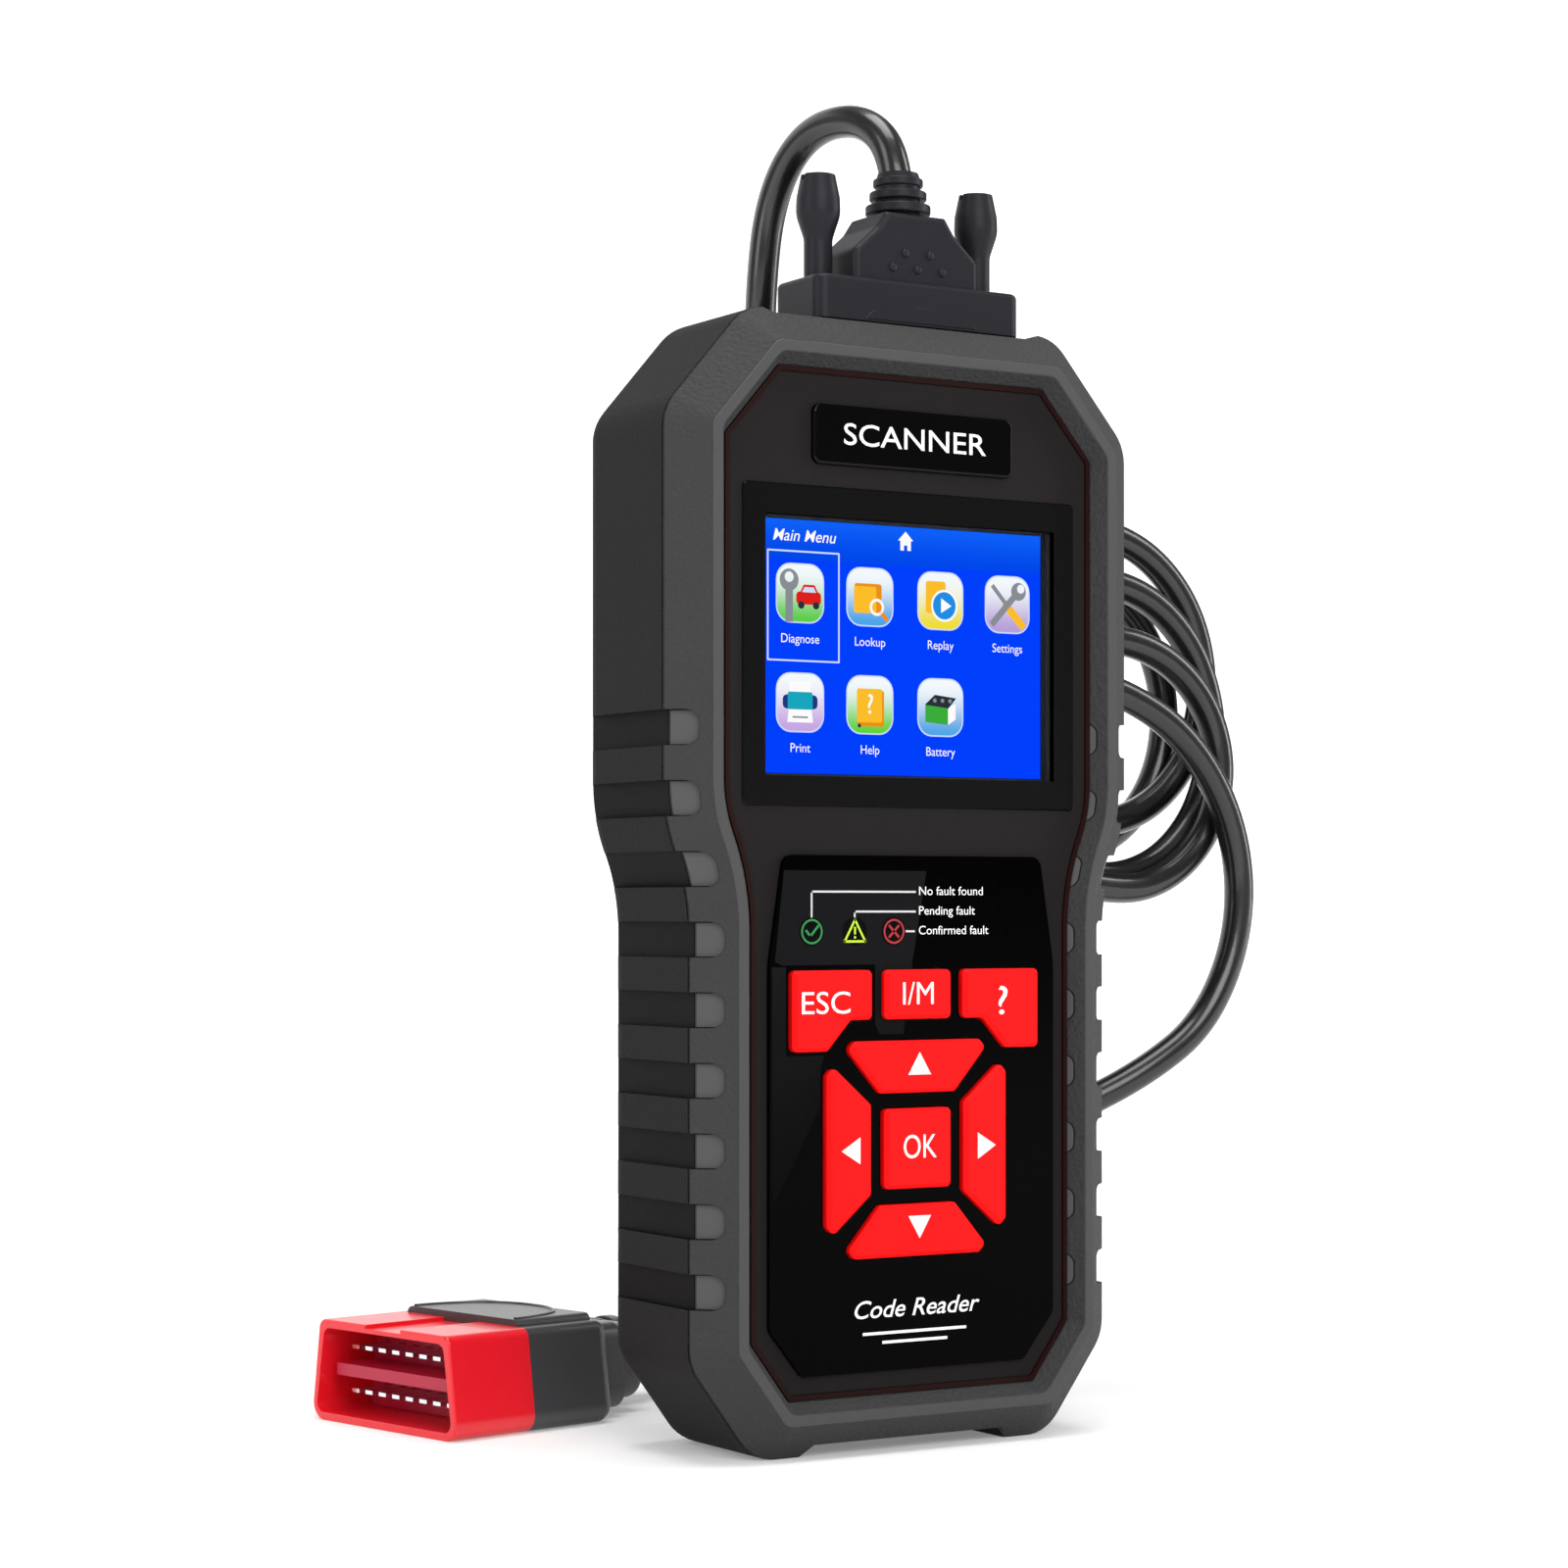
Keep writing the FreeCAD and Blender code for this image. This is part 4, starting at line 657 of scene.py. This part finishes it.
def draw_symbol(name, x, z):
    white, grey, dark = LIT["white"], LIT["grey"], LIT["dark"]
    if name == "Diagnose":
        menu.stroke(grey, [(x - 2.2, z - 4.2), (x - 2.2, z + 1.0)], 1.5, 3)
        menu.ring(grey, disc(x - 2.2, z + 2.2, 1.9, 24), disc(x - 2.2, z + 2.7, 0.9, 24), 3)
        menu.face(LIT["red"], rounded(x + 1.7, z - 0.8, 5.0, 2.2, 0.7), 4)
        menu.face(LIT["red"], [(x - 0.1, z), (x + 0.7, z + 1.5), (x + 2.9, z + 1.5), (x + 3.7, z)], 4)
        menu.face(LIT["pale"], [(x + 0.4, z + 0.2), (x + 0.9, z + 1.1), (x + 2.7, z + 1.1),
                                (x + 3.2, z + 0.2)], 5)
        for wheel in (0.2, 3.2):
            menu.face(dark, disc(x + wheel, z - 2.0, 0.65, 20), 5)
    if name == "Lookup":
        menu.face(LIT["orange"], rounded(x - 0.4, z - 0.2, 5.6, 5.0, 0.5), 3)
        menu.face(LIT["yellow"], rounded(x - 1.0, z - 0.5, 4.6, 4.6, 0.4), 4)
        menu.stroke(LIT["orange"], [(x + 2.3, z - 2.6), (x + 3.3, z - 3.6)], 0.8, 5)
        menu.ring(LIT["white"], disc(x + 1.4, z - 1.7, 1.5, 24), disc(x + 1.4, z - 1.7, 1.0, 24), 5)
    if name == "Replay":
        menu.face(LIT["yellow"], rounded(x - 1.0, z + 0.6, 4.2, 5.6, 0.5), 3)
        menu.face(LIT["blue"], disc(x + 0.8, z - 0.8, 2.5, 32), 4)
        menu.ring(white, disc(x + 0.8, z - 0.8, 2.8, 32), disc(x + 0.8, z - 0.8, 2.4, 32), 5)
        menu.face(white, [(x + 0.1, z - 2.1), (x + 0.1, z + 0.5), (x + 2.3, z - 0.8)], 6)
    if name == "Settings":
        menu.stroke(LIT["yellow"], [(x - 0.2, z - 0.2), (x + 3.0, z - 3.4)], 1.5, 3)
        menu.stroke(grey, [(x - 3.0, z + 3.0), (x - 0.4, z + 0.2)], 0.8, 4)
        menu.stroke(grey, [(x - 3.0, z - 3.2), (x + 1.8, z + 1.8)], 1.2, 5)
        menu.ring(grey, disc(x + 2.4, z + 2.4, 1.6, 24), disc(x + 2.9, z + 2.9, 0.8, 24), 5)
    if name == "Print":
        menu.face(white, [(x - 1.9, z), (x - 2.2, z + 3.6), (x + 2.2, z + 3.6), (x + 1.9, z)], 3)
        menu.face(LIT["navy"], rounded(x, z + 0.1, 7.0, 2.4, 0.8), 4)
        menu.face(LIT["teal"], rounded(x, z + 0.3, 5.0, 3.0, 0.4), 5)
        menu.face(white, [(x - 2.3, z - 1.2), (x - 2.6, z - 3.4), (x + 2.6, z - 3.4), (x + 2.3, z - 1.2)], 5)
        menu.stroke(LIT["grey"], [(x - 1.4, z - 2.5), (x + 1.4, z - 2.5)], 0.3, 6)
    if name == "Help":
        menu.face(LIT["orange"], rounded(x + 0.2, z - 0.6, 5.4, 6.2, 0.4), 3)
        menu.face(LIT["yellow"], rounded(x - 0.1, z - 0.1, 5.2, 5.8, 0.4), 4)
        menu.words(white, "?", x, z, 3.4, 5, thick=0.02)
        menu.face(dark, disc(x - 2.2, z - 3.6, 0.35, 12), 5)
    if name == "Battery":
        menu.face(LIT["leaf"], [(x - 3.2, z - 2.6), (x - 3.2, z + 0.4), (x + 1.6, z), (x + 1.6, z - 3.0)], 3)
        menu.face(white, [(x + 1.6, z - 3.0), (x + 1.6, z), (x + 3.2, z + 0.8), (x + 3.2, z - 2.0)], 3)
        menu.face(dark, [(x - 3.3, z + 0.4), (x - 1.2, z + 2.2), (x + 3.3, z + 1.7), (x + 1.7, z - 0.1)], 4)
        for spot in (-1.2, 0.4, 2.0):
            menu.face(LIT["grey"], disc(x + spot, z + 1.2, 0.38, 14), 5)


for name, column, row, colour in TILES:
    x, z = COLUMNS_X[column], ROWS_Z[row]
    menu.face(LIT["pale"], rounded(x, z, 9.7, 10.2, 2.9), 1)
    menu.face(tile_finish(name, colour, z), rounded(x, z, 9.2, 9.7, 2.7), 2)
    draw_symbol(name, x, z)
    menu.words(LIT["white"], name, x, z - 7.8, 1.55, 1, squeeze=0.95)
menu.words(LIT["white"], "Main Menu", -27.2, 156.9, 2.0, 1, "LEFT", 0.25, 0.012)
CHOSEN_X, CHOSEN_Z = -20.9, 145.0
menu.ring(LIT["pale"], rounded(CHOSEN_X, CHOSEN_Z, 14.6, 18.9, 0.1, 1),
          rounded(CHOSEN_X, CHOSEN_Z, 14.0, 18.3, 0.1, 1))
menu.face(LIT["white"], [(-1.6, 157.3), (0, 158.9), (1.6, 157.3)], 1)
menu.face(LIT["white"], [(-1.1, 157.3), (1.1, 157.3), (1.1, 155.6), (0.35, 155.6), (0.35, 156.5),
                         (-0.35, 156.5), (-0.35, 155.6), (-1.1, 155.6)], 1)
menu.done("case")

# %% [markdown]
# ### Print on the keypad sheet and badge
# The sheet carries three indicator signs with leader lines and labels, and a title with two rules
# under it; the badge carries one plain word. The signs lie on the indicator lenses, so they are a
# print of their own at the lenses' height.

# %% Sheet print
SHEET_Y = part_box("keypad_overlay")[0].y
LENS_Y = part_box("indicator_green")[0].y
sheet_print = Print("sheet_print", SHEET_Y)
GREEN_X, AMBER_X, RED_X, SIGN_Z = -21.1, -12.4, -4.4, 89.6
SHEEN_LEVEL = 0.2
# The two faces below are the painted reflection, not print: a grey patch where a highlight falls on the sheet.
sheet_print.face(painted_reflection, [(-26.6, 100.0), (2.4, 100.0), (-0.6, 84.0), (-2.4, 71.9), (-7.2, 71.9),
                             (-8.2, 73.6), (-8.2, 83.9), (-26.9, 83.9), (-28.4, 84.5)], SHEEN_LEVEL)
sheet_print.face(painted_reflection, [(-29.0, 83.6), (-26.2, 83.6), (-26.2, 68.5), (-18.6, 68.5), (-19.3, 66.4),
                             (-19.3, 60.0), (-28.4, 44.0), (-29.0, 46.0)], SHEEN_LEVEL)
for points in ([(GREEN_X, 92.1), (GREEN_X, 96.4), (0.0, 96.4)], [(AMBER_X, 92.1), (AMBER_X, 93.0), (0.0, 93.0)],
               [(-1.9, SIGN_Z), (-0.2, SIGN_Z)]):
    sheet_print.stroke(leader_ink, points, 0.34)
for text, z in (("No fault found", 96.5), ("Pending fault", 93.1), ("Confirmed fault", 89.7)):
    sheet_print.words(white_ink, text, 0.7, z, 1.5, 1, "LEFT", 0, 0.0, 1.08)
sheet_print.words(white_ink, "Code Reader", 0.0, 24.6, 3.0, 1, "CENTER", 0.28, 0.03, 1.12)
sheet_print.stroke(white_ink, [(-10.5, 20.6), (10.5, 20.6)], 0.5)
sheet_print.stroke(white_ink, [(-6.5, 19.0), (6.5, 19.0)], 0.5)
sheet_print.done("case")

signs = Print("indicator_signs", LENS_Y)
for made, x in ((green_ink, GREEN_X), (red_ink, RED_X)):
    signs.ring(made, disc(x, SIGN_Z, 2.15), disc(x, SIGN_Z, 1.8))
signs.stroke(green_ink, [(-22.2, 89.7), (-21.4, 88.8), (-19.9, 90.5)], 0.42)
signs.stroke(lime_ink, [(-14.5, 87.9), (-10.3, 87.9), (AMBER_X, 91.6), (-14.5, 87.9)], 0.4)
signs.stroke(lime_ink, [(AMBER_X, 90.2), (AMBER_X, 89.3)], 0.4)
signs.face(lime_ink, disc(AMBER_X, 88.6, 0.24, 14))
signs.stroke(red_ink, [(-5.3, 88.7), (-3.5, 90.5)], 0.42)
signs.stroke(red_ink, [(-5.3, 90.5), (-3.5, 88.7)], 0.42)
signs.done("case")

badge = Print("badge_word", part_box("name_badge")[0].y)
badge.words(white_ink, "SCANNER", 0.0, 174.3, 3.7, 1, "CENTER", 0, 0.02, 1.25)
badge.done("case")

# %% [markdown]
# ### Key legends
# Each key's legend has to travel with the key, so it is a print that rides on the key's body and not
# on the case. The arrows are single triangles, and the rest are short words.

# %% Legends
KEY_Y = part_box("key_ok")[0].y


def legend(key, draw):
    made = Print(key + "_legend", KEY_Y)
    draw(made)
    made.done(BODY_OF[key])


def word(text, x, z, tall, squeeze=0.82):
    return lambda made: made.words(white_ink, text, x, z, tall, 1, "CENTER", 0, 0.0, squeeze)


def arrow(*points):
    return lambda made: made.face(white_ink, points)


BODY_OF = {"key_esc": "esc_key", "key_im": "mode_key", "key_help": "help_key", "key_up": "up_key",
           "key_left": "left_key", "key_ok": "ok_key", "key_right": "right_key", "key_down": "down_key"}
legend("key_esc", word("ESC", -19.2, 77.3, 3.8, 1.16))
legend("key_im", word("I/M", -0.3, 78.7, 3.9, 0.98))
legend("key_help", word("?", 17.4, 77.2, 5.0, 1.3))
legend("key_ok", word("OK", 0.0, 52.3, 4.1))
legend("key_up", arrow((0, 68.8), (-2.35, 64.9), (2.35, 64.9)))
legend("key_down", arrow((0, 36.7), (-2.35, 40.6), (2.35, 40.6)))
legend("key_left", arrow((-16.0, 52.2), (-12.2, 54.5), (-12.2, 49.9)))
legend("key_right", arrow((16.0, 52.2), (12.2, 54.5), (12.2, 49.9)))

# %% [markdown]
# ## Moulded details
# Plugs have small raised marks for the fingers. A bump in the material would not change the outline
# or catch light at its edges, so these are real shapes: `dome` for a round bump, and `raised` for a
# low plateau with bevelled sides over any flat outline.

# %% Moulding words
def moulded(name, build, made, smooth=True):
    bmesh.ops.recalc_face_normals(build, faces=build.faces)
    mesh = bpy.data.meshes.new(name)
    build.to_mesh(mesh)
    build.free()
    for polygon in mesh.polygons:
        polygon.use_smooth = smooth
    add_piece(name, mesh, [made], "case")


def dome(build, centre, radius, tall, rings=6, count=24):
    """A low round bump on a face towards the viewer; its sizes are in millimetres."""
    x, y, z = centre
    rows = []
    for i in range(rings + 1):
        angle = math.pi / 2 * i / rings
        across, out = radius * math.cos(angle), tall * math.sin(angle)
        if i == rings:
            rows.append([build.verts.new((x * MM, (y - out) * MM, z * MM))])
        else:
            rows.append([build.verts.new(((x + a) * MM, (y - out) * MM, (z + b) * MM))
                         for a, b in disc(0, 0, across, count)])
    for lower, upper in zip(rows, rows[1:]):
        for k in range(count):
            corners = [lower[k], lower[(k + 1) % count]]
            corners += [upper[0]] if len(upper) == 1 else [upper[(k + 1) % count], upper[k]]
            build.faces.new(corners)


def raised(build, points, base, tall, slope, to_world):
    """A low plateau over a flat outline: points and slope in millimetres, with bevelled sides."""
    cx = sum(p[0] for p in points) / len(points)
    cz = sum(p[1] for p in points) / len(points)
    foot = [build.verts.new(to_world(x, z, base)) for x, z in points]
    top = []
    for x, z in points:
        share = slope / math.hypot(x - cx, z - cz)
        top.append(build.verts.new(to_world(x + (cx - x) * share, z + (cz - z) * share, base + tall)))
    for i in range(len(points)):
        build.faces.new([foot[i - 1], foot[i], top[i], top[i - 1]])
    build.faces.new(top)


# %% [markdown]
# ### On the top plug
# The hood has five finger bumps in two rows and a shallow lens-shaped thumb rest on its wide base.
# The bumps are sunk a hundredth of a millimetre into the hood, so that no gap shows under them.

# %% Hood details
PORT_X, PORT_Y = 4.0, -3.8
HOOD_FACE_Y = PORT_Y - 6.2
FLANGE_FACE_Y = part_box("plug_hood")[0].y / MM
UPPER_BUMPS_Z, LOWER_BUMPS_Z = 207.7, 205.0
REST_Z, REST_HALF, REST_TALL = 195.4, 11.6, 2.9
bumps = bmesh.new()
for x, z in ((-2.6, UPPER_BUMPS_Z), (2.6, UPPER_BUMPS_Z), (-5.2, LOWER_BUMPS_Z), (0, LOWER_BUMPS_Z),
             (5.2, LOWER_BUMPS_Z)):
    dome(bumps, (PORT_X + x, HOOD_FACE_Y + 0.01, z), 0.8, 0.55)
moulded("hood_bumps", bumps, plug_black)

rest = bmesh.new()
arc = [(PORT_X + REST_HALF * math.cos(math.pi * i / 32), REST_Z + REST_TALL * math.sin(math.pi * i / 32))
       for i in range(33)]
raised(rest, arc, 0, 0.18, 0.35, lambda x, z, out: (x * MM, (FLANGE_FACE_Y - out + 0.02) * MM, z * MM))
moulded("hood_thumb_rest", rest, plug_black, smooth=False)

# %% [markdown]
# ### On the diagnostic plug
# Its hood has an arched border on top and grip bars that grow shorter towards the cord. The plug lies
# turned on the floor, so its details are placed in the plug's own frame, along it, across it and up,
# and `on_plug` turns them into the model's frame. The border is a thin round bead along a smooth
# line, which is easier than cutting an arch out of a plate.

# %% Diagnostic plug details
OBD_SPOT = (-68.8, 53.4)
OBD_TURN = math.radians(191.8)
OBD_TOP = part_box("obd_hood")[1].z / MM


def on_plug(along, across, up):
    x = OBD_SPOT[0] + along * math.cos(OBD_TURN) - across * math.sin(OBD_TURN)
    y = OBD_SPOT[1] + along * math.sin(OBD_TURN) + across * math.cos(OBD_TURN)
    return (x * MM, y * MM, up * MM)


grips = bmesh.new()
for i in range(4):
    half = 10.5 - 1.8 * i
    along = -39.5 - 2.6 * i
    outline = rounded(along, 0, 1.0, half * 2, 0.45)
    raised(grips, outline, 16.1, 0.5, 0.15, on_plug)
moulded("obd_grip_bars", grips, obd_black, smooth=False)


def bead(name, points, radius, made):
    """A thin round bead along a smooth line through the neighbourhood of the points."""
    line = bpy.data.curves.new(name, "CURVE")
    line.dimensions = "3D"
    line.bevel_depth = radius
    line.bevel_resolution = 3
    spline = line.splines.new("NURBS")
    spline.points.add(len(points) - 1)
    for point, spot in zip(spline.points, points):
        point.co = (*spot, 1)
    spline.order_u = 3
    spline.use_endpoint_u = True
    holder = bpy.data.objects.new(name, line)
    mesh = bpy.data.meshes.new_from_object(holder)
    bpy.data.objects.remove(holder)
    add_piece(name, mesh, [made], "case")


border = [on_plug(along, across, OBD_TOP) for along, across in (
    (-18.6, -14.6), (-22.5, -14.6), (-31.0, -11.5), (-34.6, -5.0), (-35.0, 0.0), (-34.6, 5.0),
    (-31.0, 11.5), (-22.5, 14.6), (-18.6, 14.6))]
bead("obd_arched_border", border, 0.35 * MM, obd_black)

# %% [markdown]
# ## The floor
# The reader stands on a white sheet that curves up into a wall far behind it, as in a studio. A flat
# plane would show a horizon. Near the object the floor is mostly lit by the lamps, so contact shadows
# show; it glows more with distance, so the backdrop stays white without stronger lamps.

# %% Floor
def floor_finish():
    """White that glows a little more with distance, as a lit backdrop does."""
    made = finish("floor_white", (0.75, 0.75, 0.75), 0.8, 0.003, 0.0, 0.01, emission_strength=1.0,
                  specular_ior_level=0.0)
    tree = made.node_tree
    where = Field(tree, tree.nodes.new("ShaderNodeTexCoord").outputs["Object"])
    away = where.node("VectorMath", {0: where}, 1, operation="LENGTH")
    far = away.step(0.2, 1.3)
    plug(tree, tree.nodes["Principled BSDF"].inputs["Emission Color"],
         far.mix((0.2, 0.2, 0.2), (1.0, 1.0, 1.0)))
    return made


def make_floor():
    mesh = bpy.data.meshes.new("floor")
    build = bmesh.new()
    profile = [(-3, 0)] + [(4 + 1.5 * math.sin(a), 1.5 - 1.5 * math.cos(a))
                           for a in (math.pi / 2 * i / 12 for i in range(13))] + [(5.5, 6)]
    rows = [[build.verts.new((x, y, z)) for y, z in profile] for x in (-6, 6)]
    for i in range(len(profile) - 1):
        build.faces.new((rows[0][i], rows[1][i], rows[1][i + 1], rows[0][i + 1]))
    build.to_mesh(mesh)
    build.free()
    floor = bpy.data.objects.new("floor", mesh)
    bpy.context.scene.collection.objects.link(floor)
    mesh.materials.append(floor_finish())
    return floor


make_floor()
